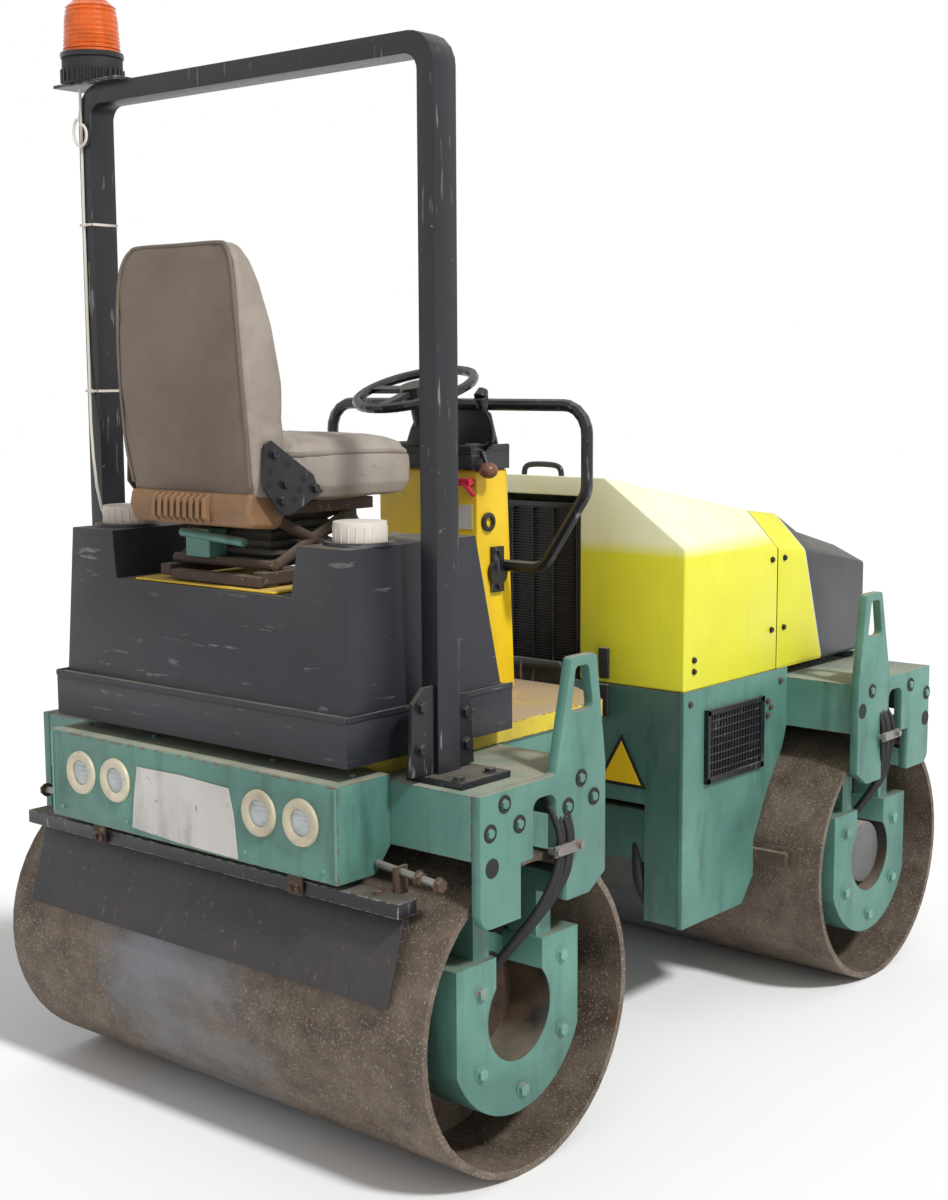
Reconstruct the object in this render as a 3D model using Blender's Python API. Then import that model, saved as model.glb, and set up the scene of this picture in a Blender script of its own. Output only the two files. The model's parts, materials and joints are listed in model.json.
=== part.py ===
"""Articulated tandem road roller, ride-on, with a drum in each half.

Metres, +X forward, +Y left, +Z up. The origin is on the ground, on the articulation's axis, midway between the
drums. Both halves are alike: SIDE is -1 for the rear half and +1 for the front one, and u is the distance from
the origin along X. Each node is one closed solid.
"""

import math

import bmesh
import bpy
from mathutils import Matrix, Vector

# ---- driving dimensions -------------------------------------------------------------------------------------
GAP = 0.0003            # between pieces that touch
RUN = 0.0008            # radial clearance of a pin in its hole

DRUM_R = 0.3565
DRUM_HALF_WIDTH = 0.690
DRUM_WALL = 0.016
WHEELBASE = 1.626       # from drum axle to drum axle
AXLE_U = WHEELBASE / 2
WEB_Y = 0.420           # the drum's inner discs
WEB_T = 0.020
AXLE_R = 0.050
AXLE_HALF = 0.530

YOKE_Y = 0.704          # inner face of a yoke's side plate
YOKE_T = 0.023
YOKE_IN = 0.592         # ends of a side plate along u
YOKE_OUT = 1.027
DECK_Z = 0.885
DECK_T = 0.012
DECK_LOW = 0.745

HANGER_Y = 0.539        # the horseshoe that carries the drum's bearing
HANGER_T = 0.120
HANGER_R = 0.2285
HANGER_HALF = 0.2115
HANGER_BORE = 0.107
HANGER_NECK = 0.080     # half of its mouth
HANGER_TOP = 0.500

END_U = 1.187           # outer face of a lamp box
BOX_HALF = 0.480
BOX_LOW = 0.690
BOX_TOP = 0.900

CHASSIS_IN = 0.070      # the front half's rear face
CHASSIS_HALF = 0.500
CHASSIS_TOP = 0.9147
CHASSIS_LOW = 0.280
PLATE_T = 0.015
PIVOT_Z = 0.510

HOOD_LOW = 0.915
HOOD_T = 0.008
HOOD_SPLIT = 0.538      # where the hood's rear shell meets its nose
HOOD_FRONT = 1.045
HOOD_HINGE = (1.050, 0.0, 0.925)

PLATFORM_TOP = 0.930
TANK_HALF = 0.475
TANK_TOP = 1.380
SADDLE_HALF = 0.290
SADDLE_Z = 1.270

ROPS_X = -0.939
ROPS_DEPTH = 0.070
ROPS_TUBE = 0.045
ROPS_HALF = 0.570
ROPS_TOP = 2.427
ROPS_BEND = 0.070

CONSOLE_HALF = 0.165
CONSOLE_REAR = -0.360
CONSOLE_FRONT = -0.240
CONSOLE_TOP = 1.500
DASH_TOP = 1.553
WHEEL_AT = (-0.400, 0.0, 1.700)
WHEEL_R = 0.150
WHEEL_TUBE = 0.0125
WHEEL_TILT = math.radians(18)

RAIL_X = -0.260
RAIL_HALF = 0.430
RAIL_TOP = 1.660
RAIL_R = 0.015

CYLINDER_REAR = Vector((-0.375, 0.155, 0.470))
CYLINDER_EYE = Vector((0.020, 0.170, 0.470))
BARREL_LENGTH = 0.235
ROD_LENGTH = 0.255

# ---- materials ----------------------------------------------------------------------------------------------
FINISHES = {            # colour, roughness, metallic
    "green_paint": ((0.22, 0.42, 0.34), 0.55, 0.0),
    "lime_paint": ((0.78, 0.80, 0.08), 0.45, 0.0),
    "yellow_paint": ((0.90, 0.62, 0.03), 0.50, 0.0),
    "black_paint": ((0.02, 0.02, 0.025), 0.50, 0.0),
    "black_plastic": ((0.03, 0.03, 0.035), 0.60, 0.0),
    "black_rubber": ((0.015, 0.015, 0.015), 0.80, 0.0),
    "drum_steel": ((0.22, 0.19, 0.17), 0.60, 0.7),
    "bare_steel": ((0.45, 0.45, 0.45), 0.40, 1.0),
    "vinyl": ((0.38, 0.33, 0.27), 0.65, 0.0),
    "white_plastic": ((0.80, 0.77, 0.70), 0.50, 0.0),
    "amber_glass": ((0.90, 0.20, 0.01), 0.15, 0.0),
    "lamp_glass": ((0.70, 0.72, 0.70), 0.15, 0.0),
    "floor_steel": ((0.35, 0.28, 0.18), 0.80, 0.3),
}


def make_material(name):
    colour, roughness, metallic = FINISHES[name]
    material = bpy.data.materials.get(name) or bpy.data.materials.new(name)
    material.use_nodes = True
    shader = material.node_tree.nodes["Principled BSDF"]
    shader.inputs["Base Color"].default_value = (*colour, 1)
    shader.inputs["Roughness"].default_value = roughness
    shader.inputs["Metallic"].default_value = metallic
    return material


# ---- shapes: each returns a closed bmesh --------------------------------------------------------------------
def prism(outline, axis, low, high):
    """The outline's two numbers are the other two axes in X, Y, Z order."""
    bm = bmesh.new()
    places = {"x": lambda a, b, c: (c, a, b), "y": lambda a, b, c: (a, c, b), "z": lambda a, b, c: (a, b, c)}
    rings = [[bm.verts.new(places[axis](a, b, c)) for a, b in outline] for c in (low, high)]
    bm.faces.new(rings[0])
    bm.faces.new(rings[1][::-1])
    count = len(outline)
    for i in range(count):
        j = (i + 1) % count
        bm.faces.new((rings[0][j], rings[0][i], rings[1][i], rings[1][j]))
    bmesh.ops.recalc_face_normals(bm, faces=bm.faces)
    return bm


def box(x0, x1, y0, y1, z0, z1):
    return prism([(x0, y0), (x1, y0), (x1, y1), (x0, y1)], "z", z0, z1)


def cylinder(axis, centre, radius, low, high, steps=24):
    a, b = centre
    ring = [(a + radius * math.cos(2 * math.pi * i / steps), b + radius * math.sin(2 * math.pi * i / steps))
            for i in range(steps)]
    return prism(ring, axis, low, high)


def loft(sections):
    """Closed outlines of equal length, each a list of 3-D points, joined one to the next and capped."""
    bm = bmesh.new()
    rings = [[bm.verts.new(point) for point in section] for section in sections]
    bm.faces.new(rings[0])
    bm.faces.new(rings[-1][::-1])
    count = len(rings[0])
    for first, second in zip(rings, rings[1:]):
        for i in range(count):
            j = (i + 1) % count
            bm.faces.new((first[j], first[i], second[i], second[j]))
    bmesh.ops.recalc_face_normals(bm, faces=bm.faces)
    return bm


def lathe_y(profile, centre, steps):
    """Turns (radius, y) points, which start and end on the axis, about the line through (x, z)."""
    x, z = centre
    bm = bmesh.new()
    ends = [bm.verts.new((x, profile[i][1], z)) for i in (0, -1)]
    rings = []
    for radius, y in profile[1:-1]:
        angles = [2 * math.pi * i / steps for i in range(steps)]
        rings.append([bm.verts.new((x + radius * math.cos(a), y, z + radius * math.sin(a))) for a in angles])
    for i in range(steps):
        j = (i + 1) % steps
        bm.faces.new((ends[0], rings[0][i], rings[0][j]))
        bm.faces.new((ends[1], rings[-1][j], rings[-1][i]))
        for first, second in zip(rings, rings[1:]):
            bm.faces.new((first[j], first[i], second[i], second[j]))
    bmesh.ops.recalc_face_normals(bm, faces=bm.faces)
    return bm


def rounded(corners, steps=4):
    """Corners are (a, b, radius), and each with a radius becomes an arc."""
    points = []
    count = len(corners)
    for i, (a, b, radius) in enumerate(corners):
        here = Vector((a, b))
        if not radius:
            points.append((a, b))
            continue
        back = (Vector(corners[i - 1][:2]) - here).normalized()
        on = (Vector(corners[(i + 1) % count][:2]) - here).normalized()
        half = back.angle(on) / 2
        start = here + back * radius / math.tan(half)
        end = here + on * radius / math.tan(half)
        centre = here + (back + on).normalized() * radius / math.sin(half)
        for k in range(steps + 1):
            spoke = (start - centre).lerp(end - centre, k / steps).normalized() * radius
            points.append(tuple(centre + spoke))
    return points


def arc(centre, radius, start, end, steps):
    """Points on a circle, angles in degrees."""
    angles = [math.radians(start + (end - start) * k / steps) for k in range(steps + 1)]
    return [(centre[0] + radius * math.cos(a), centre[1] + radius * math.sin(a)) for a in angles]


# ---- objects ------------------------------------------------------------------------------------------------
def place(name, bm, origin):
    bmesh.ops.translate(bm, verts=bm.verts, vec=-Vector(origin))
    mesh = bpy.data.meshes.new(name)
    bm.to_mesh(mesh)
    bm.free()
    thing = bpy.data.objects.new(name, mesh)
    thing.location = origin
    bpy.context.scene.collection.objects.link(thing)
    return thing


def solid(name, finish, shapes, cuts=(), origin=(0, 0, 0), smooth=False):
    """One node: the first shape, with the others joined to it and the cuts taken out."""
    node = place(name, shapes[0], origin)
    node.data.materials.append(make_material(finish))
    for operation, extras in (("UNION", shapes[1:]), ("DIFFERENCE", cuts)):
        for number, shape in enumerate(extras):
            helper = place(f"{name}_{operation.lower()}_{number}", shape, origin)
            helper.hide_render = True
            helper.display_type = "WIRE"
            boolean = node.modifiers.new(helper.name, "BOOLEAN")
            boolean.operation = operation
            boolean.object = helper
    if smooth:
        node.data.shade_smooth()
        node.data.set_sharp_from_angle(angle=math.radians(35))
    return node


def tube(name, finish, points, radius):
    curve = bpy.data.curves.new(name, "CURVE")
    curve.dimensions = "3D"
    curve.bevel_depth = radius
    curve.bevel_resolution = 2
    curve.use_fill_caps = True
    spline = curve.splines.new("POLY")
    spline.points.add(len(points) - 1)
    for point, place_at in zip(spline.points, points):
        point.co = (*place_at, 1)
    thing = bpy.data.objects.new(name, curve)
    thing.data.materials.append(make_material(finish))
    bpy.context.scene.collection.objects.link(thing)
    return thing


# ---- the two halves -----------------------------------------------------------------------------------------
def flip(outline, side):
    return [(side * a, b) for a, b in outline]


def build_drum(half, side):
    wall_r = DRUM_R - DRUM_WALL
    hub_r = AXLE_R + 0.020
    profile = [(0, -AXLE_HALF), (AXLE_R, -AXLE_HALF), (AXLE_R, -WEB_Y - WEB_T), (wall_r, -WEB_Y - WEB_T),
               (wall_r, -DRUM_HALF_WIDTH), (DRUM_R, -DRUM_HALF_WIDTH), (DRUM_R, DRUM_HALF_WIDTH),
               (wall_r, DRUM_HALF_WIDTH), (wall_r, WEB_Y + WEB_T), (AXLE_R, WEB_Y + WEB_T),
               (AXLE_R, AXLE_HALF), (0, AXLE_HALF)]
    centre = (side * AXLE_U, DRUM_R)
    # the hollow between the webs, open through four round holes in each of them
    hollow = [(hub_r, -WEB_Y), (wall_r, -WEB_Y), (wall_r, WEB_Y), (hub_r, WEB_Y)]
    ring = bmesh.new()
    steps = 48
    loops = []
    for i in range(steps):
        angle = 2 * math.pi * i / steps
        loops.append([ring.verts.new((centre[0] + r * math.cos(angle), y, centre[1] + r * math.sin(angle)))
                      for r, y in hollow])
    for i in range(steps):
        for k in range(4):
            here, there = loops[i], loops[(i + 1) % steps]
            ring.faces.new((here[k], here[(k + 1) % 4], there[(k + 1) % 4], there[k]))
    bmesh.ops.recalc_face_normals(ring, faces=ring.faces)
    hole_at = (hub_r + wall_r) / 2
    cuts = [ring]
    for quarter in range(4):
        angle = math.radians(45 + 90 * quarter)
        at = (centre[0] + hole_at * math.cos(angle), centre[1] + hole_at * math.sin(angle))
        cuts.append(cylinder("y", at, 0.055, -WEB_Y - 2 * WEB_T, WEB_Y + 2 * WEB_T, 16))
    return solid(f"{half}_drum", "drum_steel", [lathe_y(profile, centre, steps)], cuts,
                 (side * AXLE_U, 0, DRUM_R), smooth=True)


def build_yoke(half, side, hand, y_sign):
    """Side plate with its lifting ear and the notch that the hoses come out of."""
    low, step, notch_top = 0.600, 0.720, 0.847
    plate = rounded([
        (YOKE_OUT, DECK_Z, 0), (YOKE_OUT, low, 0.035), (AXLE_U + 0.081, low, 0), (AXLE_U + 0.081, step, 0),
        (AXLE_U + 0.039, step, 0), (AXLE_U + 0.039, notch_top, 0.025), (AXLE_U - 0.042, notch_top, 0.025),
        (AXLE_U - 0.042, step, 0), (AXLE_U - 0.079, step, 0), (AXLE_U - 0.079, low, 0),
        (YOKE_IN + 0.060, low, 0), (YOKE_IN, low + 0.037, 0), (YOKE_IN, DECK_Z, 0), (0.627, 1.133, 0.012),
        (0.717, 1.133, 0.012), (0.774, 0.890, 0), (0.790, DECK_Z, 0)])
    slot = rounded([(0.638, 1.012, 0.012), (0.720, 1.012, 0.012), (0.702, 1.112, 0.012), (0.656, 1.112, 0.012)])
    faces = sorted((y_sign * YOKE_Y, y_sign * (YOKE_Y + YOKE_T)))
    through = sorted((y_sign * (YOKE_Y - YOKE_T), y_sign * (YOKE_Y + 2 * YOKE_T)))
    return solid(f"{half}_yoke_{hand}", "green_paint", [prism(flip(plate, side), "y", *faces)],
                 [prism(flip(slot, side), "y", *through)])


def build_deck(half, side):
    """Cross beam over the drum: a channel open below."""
    inner, outer = YOKE_IN + 0.008, YOKE_OUT
    top = DECK_Z - GAP
    channel = [(inner, DECK_LOW), (inner + DECK_T, DECK_LOW), (inner + DECK_T, top - DECK_T),
               (outer - DECK_T, top - DECK_T), (outer - DECK_T, DECK_LOW), (outer, DECK_LOW), (outer, top),
               (inner, top)]
    half_width = YOKE_Y - GAP
    return solid(f"{half}_deck", "green_paint", [prism(flip(channel, side), "y", -half_width, half_width)])


def build_hanger(half, side, hand, y_sign):
    """Horseshoe in the drum's mouth, on two posts from the yoke, with the bearing's plate behind it."""
    centre = (AXLE_U, DRUM_R)
    turn = math.degrees(math.acos(HANGER_HALF / HANGER_R))
    neck = math.degrees(math.acos(HANGER_NECK / HANGER_BORE))
    outline = [(AXLE_U + HANGER_HALF, HANGER_TOP)]
    outline += arc(centre, HANGER_R, -turn, -180 + turn, 20)
    outline += [(AXLE_U - HANGER_HALF, HANGER_TOP), (AXLE_U - HANGER_NECK, HANGER_TOP)]
    outline += arc(centre, HANGER_BORE, 180 - neck, 360 + neck, 20)
    outline += [(AXLE_U + HANGER_NECK, HANGER_TOP)]

    def across(near, far):
        return sorted((y_sign * near, y_sign * far))

    shapes = [prism(flip(outline, side), "y", *across(HANGER_Y, HANGER_Y + HANGER_T)),
              cylinder("y", (side * AXLE_U, DRUM_R), 0.150, *across(HANGER_Y - 0.039, HANGER_Y + 0.006), 32)]
    for post in (-1, 1):
        near, far = sorted(side * (AXLE_U + post * u) for u in (HANGER_NECK + 0.002, 0.135))
        post_y = across(0.560, 0.640)
        foot_y = across(0.620, YOKE_Y - GAP)
        shapes.append(box(near, far, *post_y, HANGER_TOP - 0.030, 0.655))
        shapes.append(box(near, far, *foot_y, 0.605, 0.656))
    bore = cylinder("y", (side * AXLE_U, DRUM_R), AXLE_R + RUN, *across(HANGER_Y - 0.1, HANGER_Y + 0.1), 32)
    return solid(f"{half}_drum_hanger_{hand}", "green_paint", shapes, [bore])


def build_lamp_box(half, side):
    inner = YOKE_OUT + GAP
    outline = [(inner, BOX_TOP), (END_U - 0.004, BOX_TOP), (END_U, BOX_TOP - 0.004), (END_U, BOX_LOW),
               (1.075, BOX_LOW), (inner, 0.745)]
    return solid(f"{half}_lamp_box", "green_paint", [prism(flip(outline, side), "y", -BOX_HALF, BOX_HALF)])


def build_scrapers(half, side):
    outer_bar = box(*sorted((side * 1.100, side * 1.160)), -0.620, 0.620, 0.640, 0.672)
    brackets = [box(*sorted((side * 1.110, side * 1.150)), y - 0.020, y + 0.020, 0.660, BOX_LOW - GAP)
                for y in (-0.350, 0.350)]
    solid(f"{half}_outer_scraper_bar", "black_paint", [outer_bar, *brackets])
    flap = [(1.112, 0.640 - GAP), (1.120, 0.640 - GAP), (1.176, 0.450), (1.168, 0.448)]
    solid(f"{half}_outer_scraper_flap", "black_rubber", [prism(flip(flap, side), "y", -0.600, 0.600)])
    inner = sorted((side * (0.430 + GAP), side * 0.450))
    solid(f"{half}_inner_scraper_bar", "drum_steel", [box(*inner, -0.600, 0.600, 0.385, 0.425)])


def build_half(half, side):
    build_drum(half, side)
    build_deck(half, side)
    build_lamp_box(half, side)
    build_scrapers(half, side)
    for hand, y_sign in (("left", 1), ("right", -1)):
        build_yoke(half, side, hand, y_sign)
        build_hanger(half, side, hand, y_sign)
    motor_sign = side * -1
    motor_y = sorted((motor_sign * (HANGER_Y + 0.006 + GAP), motor_sign * 0.640))
    solid(f"{half}_drum_motor", "bare_steel",
          [cylinder("y", (side * AXLE_U, DRUM_R), 0.088, *motor_y, 24)])


LAMPS = [               # name, side, y, radius
    ("rear_lamp_left_outer", -1, 0.365, 0.040),
    ("rear_lamp_left_inner", -1, 0.239, 0.040),
    ("rear_lamp_right_inner", -1, -0.245, 0.040),
    ("rear_lamp_right_outer", -1, -0.372, 0.040),
    ("front_lamp_left", 1, 0.320, 0.050),
    ("front_lamp_right", 1, -0.320, 0.050),
]
LAMP_Z = 0.808


def build_lamps():
    """Each lamp sits in a pocket of its lamp box, flush with the box's outer face."""
    for name, side, y, radius in LAMPS:
        lamp_box = bpy.data.objects["rear_lamp_box" if side < 0 else "front_lamp_box"]
        span = sorted((side * (END_U - 0.030), side * END_U))
        pocket = sorted((side * (END_U - 0.030 - GAP), side * (END_U + 0.010)))
        cutter = place(f"{name}_pocket", cylinder("x", (y, LAMP_Z), radius + GAP, *pocket, 20), (0, 0, 0))
        cutter.hide_render = True
        cutter.display_type = "WIRE"
        boolean = lamp_box.modifiers.new(cutter.name, "BOOLEAN")
        boolean.operation = "DIFFERENCE"
        boolean.object = cutter
        solid(name, "lamp_glass", [cylinder("x", (y, LAMP_Z), radius, *span, 20)])


# ---- articulation -------------------------------------------------------------------------------------------
LUG_T = 0.025
LUGS = [0.395, 0.600]   # underside of the lower and the upper lug
PIN_R = 0.020
TRUNNION_R = 0.040


def build_rear_chassis():
    wall_x, front_x, half = -0.430, -0.200, 0.420
    outline = [(-YOKE_IN - 0.008 + GAP, DECK_Z - GAP), (-YOKE_IN - 0.008 + GAP, DECK_LOW), (-0.500, 0.660),
               (wall_x, 0.560), (wall_x, 0.360), (front_x, 0.360), (front_x, DECK_Z - GAP)]
    sides = [prism(outline, "y", *span) for span in ((half - PLATE_T, half), (-half, PLATE_T - half))]
    wall = box(wall_x, wall_x + PLATE_T, -half + 0.005, half - 0.005, 0.362, 0.880)
    lugs = []
    for low in LUGS:
        tongue = [(wall_x + 0.010, -0.120), (-0.200, -0.090)] + arc((0, 0), 0.050, -90, 90, 8)
        tongue += [(-0.200, 0.090), (wall_x + 0.010, 0.120)]
        lugs.append(prism(tongue, "z", low, low + LUG_T))
    at = CYLINDER_REAR
    eye_shelf = box(wall_x + 0.010, at.x + 0.010, at.y - 0.022, at.y + 0.022, at.z - 0.034, at.z - 0.0155)
    eye_pin = cylinder("z", (at.x, at.y), 0.010, at.z - 0.030, at.z + 0.018, 12)
    holes = [cylinder("z", (0, 0), PIN_R + RUN, LUGS[0] - 0.05, LUGS[1] + 0.05, 24)]
    return solid("rear_chassis", "green_paint", [sides[0], wall, sides[1], *lugs, eye_shelf, eye_pin], holes)


def build_knuckle():
    barrel = cylinder("z", (0, 0), 0.050, LUGS[0] + LUG_T + RUN, LUGS[1] - RUN, 24)
    pin = cylinder("z", (0, 0), PIN_R, LUGS[0] - 0.004, LUGS[1] + LUG_T + 0.004, 24)
    trunnion = cylinder("x", (0, PIVOT_Z), TRUNNION_R, 0.0, 0.210, 24)
    arm_low = CYLINDER_EYE.z + 0.018 + 0.0005
    arm = box(-0.020, 0.050, 0.0, CYLINDER_EYE.y + 0.025, arm_low, arm_low + 0.020)
    return solid("articulation_knuckle", "bare_steel", [barrel, pin, trunnion, arm])


def build_cylinder():
    way = (CYLINDER_EYE - CYLINDER_REAR).normalized()
    turn = Matrix.Rotation(math.atan2(way.y, way.x), 4, "Z")

    def along(shape, start):
        bmesh.ops.transform(shape, matrix=Matrix.Translation(start) @ turn, verts=shape.verts)
        return shape

    rear, eye = CYLINDER_REAR, CYLINDER_EYE
    body = along(cylinder("x", (0, 0), 0.026, 0.018, BARREL_LENGTH, 20), rear)
    rear_eye = along(cylinder("z", (0, 0), 0.025, -0.015, 0.015, 20), rear)
    bore = along(cylinder("x", (0, 0), 0.0145, 0.035, BARREL_LENGTH + 0.02, 20), rear)
    pin_hole = along(cylinder("z", (0, 0), 0.010 + RUN, -0.05, 0.05, 20), rear)
    solid("steering_cylinder_barrel", "black_paint", [body, rear_eye], [bore, pin_hole], tuple(rear))
    rod = along(cylinder("x", (0, 0), 0.013, -ROD_LENGTH, -0.010, 20), eye)
    rod_eye = along(cylinder("z", (0, 0), 0.022, -0.018, 0.018, 20), eye)
    solid("steering_cylinder_rod", "bare_steel", [rod, rod_eye], [], tuple(eye))


# ---- front half ---------------------------------------------------------------------------------------------
GRILLE = (0.178, 0.450, 0.667, 0.840)     # x, x, z, z of the side opening


def build_front_chassis():
    end = YOKE_IN + 0.008 - GAP
    outline = [(CHASSIS_IN, CHASSIS_TOP), (CHASSIS_IN, CHASSIS_LOW), (0.370, CHASSIS_LOW), (0.430, 0.350),
               (0.430, 0.450), (0.500, 0.580), (0.580, 0.690), (end, 0.745), (end, CHASSIS_TOP)]
    half = CHASSIS_HALF
    sides = [prism(outline, "y", *span) for span in ((half - PLATE_T, half), (-half, PLATE_T - half))]
    mouth = 0.380
    rear = prism([(-half + 0.004, CHASSIS_TOP - 0.002), (-half + 0.004, CHASSIS_LOW + 0.004),
                  (-mouth, CHASSIS_LOW + 0.004), (-mouth, 0.600), (mouth, 0.600), (mouth, CHASSIS_LOW + 0.004),
                  (half - 0.004, CHASSIS_LOW + 0.004), (half - 0.004, CHASSIS_TOP - 0.002)],
                 "x", CHASSIS_IN + 0.001, CHASSIS_IN + PLATE_T)
    member = box(0.080, 0.340, -half + 0.006, half - 0.006, 0.440, 0.580)
    shelf = box(CHASSIS_IN + 0.002, 0.121, -0.170, 0.170, 0.893, 0.905)
    x0, x1, z0, z1 = GRILLE
    cuts = [cylinder("x", (0, PIVOT_Z), TRUNNION_R + RUN, 0.0, 0.400, 24),
            box(x0, x1, -0.6, -0.4, z0, z1), box(x0, x1, 0.4, 0.6, z0, z1)]
    return solid("front_chassis", "green_paint", [sides[0], rear, sides[1], member, shelf], cuts)


def build_engine_bay():
    solid("engine_block", "black_paint", [box(0.125, 0.500, -0.240, 0.240, 0.580 + GAP, 1.120)])
    solid("radiator", "black_plastic", [box(0.086, 0.117, -0.150, 0.150, 0.905 + GAP, 1.380)])
    x0, x1, z0, z1 = GRILLE
    for hand, y_sign in (("left", 1), ("right", -1)):
        span = sorted((y_sign * (CHASSIS_HALF - 0.012), y_sign * (CHASSIS_HALF + 0.004)))
        solid(f"side_grille_{hand}", "black_plastic",
              [box(x0 + GAP, x1 - GAP, *span, z0 + GAP, z1 - GAP)])


HOOD_SECTIONS = [       # x, crease height, half width of the roof, roof height
    (CHASSIS_IN, 1.289, 0.247, 1.463),
    (HOOD_SPLIT, 1.255, 0.402, 1.354),
]
NOSE_SECTIONS = [
    (HOOD_SPLIT + GAP, 1.255, 0.402, 1.354),
    (0.683, 1.239, 0.402, 1.336),
    (0.775, 1.224, 0.402, 1.283),
    (HOOD_FRONT, 1.172, 0.402, 1.216),
]


def hood_ring(x, crease, roof_half, roof, low, inset):
    half = CHASSIS_HALF - inset
    corner = roof_half - inset / 2
    return [(x, -half, low), (x, -half, crease - inset / 2), (x, -corner, roof - inset),
            (x, corner, roof - inset), (x, half, crease - inset / 2), (x, half, low)]


def shell(sections, rear_wall, front_wall):
    """Outer loft, and the cutter that hollows it from below and from an end that has no wall."""
    outer = loft([hood_ring(*section, HOOD_LOW, 0) for section in sections])
    inner_sections = [list(section) for section in sections]
    inner_sections[0][0] += HOOD_T if rear_wall else -0.010
    inner_sections[-1][0] -= HOOD_T if front_wall else -0.010
    inner = loft([hood_ring(*section, HOOD_LOW - 0.020, HOOD_T) for section in inner_sections])
    return outer, inner


def build_hood():
    outer, inner = shell(HOOD_SECTIONS, True, False)
    opening = box(CHASSIS_IN - 0.05, CHASSIS_IN + 0.05, -0.165, 0.165, HOOD_LOW - 0.03, 1.410)
    solid("engine_hood", "lime_paint", [outer], [inner, opening], HOOD_HINGE)
    outer, inner = shell(NOSE_SECTIONS, False, True)
    solid("hood_nose", "black_plastic", [outer], [inner], HOOD_HINGE)


# ---- operator's place ---------------------------------------------------------------------------------------
def build_platform():
    outline = [(-1.020, -0.430), (-0.190, -0.430), (-0.090, -0.270), (-0.090, 0.270), (-0.190, 0.430),
               (-1.020, 0.430)]
    solid("operator_platform", "yellow_paint", [prism(outline, "z", DECK_Z + GAP, PLATFORM_TOP - GAP)])
    kick = [(-0.255, PLATFORM_TOP), (0.255, PLATFORM_TOP), (0.225, 0.990), (-0.225, 0.990)]
    solid("kick_plate", "black_paint", [prism(kick, "x", -0.098, -0.091)])


def build_tank():
    low, band = PLATFORM_TOP + GAP, 1.035
    body = loft([[(-1.140, -TANK_HALF, low), (-0.622, -TANK_HALF, low), (-0.622, TANK_HALF, low),
                  (-1.140, TANK_HALF, low)],
                 [(-1.120, -TANK_HALF + 0.02, TANK_TOP), (-0.712, -TANK_HALF + 0.02, TANK_TOP),
                  (-0.712, TANK_HALF - 0.02, TANK_TOP), (-1.120, TANK_HALF - 0.02, TANK_TOP)]])
    foot = box(-1.160, -0.617, -TANK_HALF - 0.008, TANK_HALF + 0.008, low + 0.001, band)
    saddle = prism([(-SADDLE_HALF, SADDLE_Z), (SADDLE_HALF, SADDLE_Z), (SADDLE_HALF + 0.02, TANK_TOP + 0.02),
                    (-SADDLE_HALF - 0.02, TANK_TOP + 0.02)], "x", -1.3, -0.5)
    solid("water_tank", "black_plastic", [body, foot], [saddle])
    for hand, y in (("left", 0.385), ("right", -0.385)):
        solid(f"tank_cap_{hand}", "white_plastic",
              [cylinder("z", (-1.010, y), 0.058, TANK_TOP + GAP, TANK_TOP + 0.050, 24)], smooth=True)


def build_seat():
    solid("seat_base", "black_paint", [box(-1.050, -0.780, -0.150, 0.150, SADDLE_Z + GAP, 1.455 - GAP)])
    cushion = rounded([(-1.060, 1.455, 0.02), (-0.640, 1.455, 0.03), (-0.625, 1.560, 0.03), (-1.060, 1.600, 0)])
    solid("seat_cushion", "vinyl", [prism(cushion, "y", -0.240, 0.240)])
    back = rounded([(-1.130, 1.455, 0), (-1.0603, 1.455, 0), (-1.0603, 1.620, 0), (-1.105, 2.045, 0.02),
                    (-1.165, 2.035, 0.03)])
    solid("seat_back", "vinyl", [prism(back, "y", -0.215, 0.215)])


def build_rops():
    x0, x1 = ROPS_X - ROPS_DEPTH / 2, ROPS_X + ROPS_DEPTH / 2
    half, inner, low = ROPS_HALF, ROPS_HALF - ROPS_TUBE, DECK_Z + GAP
    top, under = ROPS_TOP, ROPS_TOP - ROPS_TUBE
    outline = rounded([(-half, low, 0), (-half, top, ROPS_BEND), (half, top, ROPS_BEND), (half, low, 0),
                       (inner, low, 0), (inner, under, ROPS_BEND - 0.035), (-inner, under, ROPS_BEND - 0.035),
                       (-inner, low, 0)], 5)
    feet = [box(x0 - 0.030, x1 + 0.060, *span, low + 0.0005, 0.900)
            for span in ((0.505, 0.660), (-0.660, -0.505))]
    solid("rops_frame", "black_paint", [prism(outline, "x", x0, x1), *feet])
    solid("beacon_bracket", "black_paint",
          [box(ROPS_X - 0.055, ROPS_X + 0.055, 0.400, 0.640, ROPS_TOP + GAP, ROPS_TOP + 0.008)])
    base = ROPS_TOP + 0.008
    at = (ROPS_X, 0.555)
    build_beacon_cable()
    solid("beacon_base", "black_rubber", [cylinder("z", at, 0.073, base + GAP, base + 0.060, 24)])
    dome = [[(at[0] + r * math.cos(a), at[1] + r * math.sin(a), base + z)
             for a in (2 * math.pi * i / 24 for i in range(24))]
            for r, z in ((0.068, 0.060 + GAP), (0.064, 0.150), (0.058, 0.180), (0.040, 0.196))]
    solid("beacon_lens", "amber_glass", [loft(dome)], smooth=True)


CABLE_R = 0.0035
CABLE_ROUTE = [         # clipped to the left post's rear face, then across to the tank
    (-0.9780, 0.556, 2.420), (-0.9780, 0.556, 2.300), (-0.9780, 0.557, 2.150), (-0.9780, 0.557, 2.000),
    (-0.9780, 0.557, 1.880), (-0.9780, 0.556, 1.780), (-0.9830, 0.550, 1.700), (-0.9920, 0.538, 1.620),
    (-1.0020, 0.520, 1.540), (-1.0100, 0.500, 1.470), (-1.0140, 0.480, 1.420), (-1.0150, 0.462, 1.393),
    (-1.0150, 0.452, 1.384)]


def build_beacon_cable():
    tube("beacon_cable", "white_plastic", CABLE_ROUTE, CABLE_R)


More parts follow.
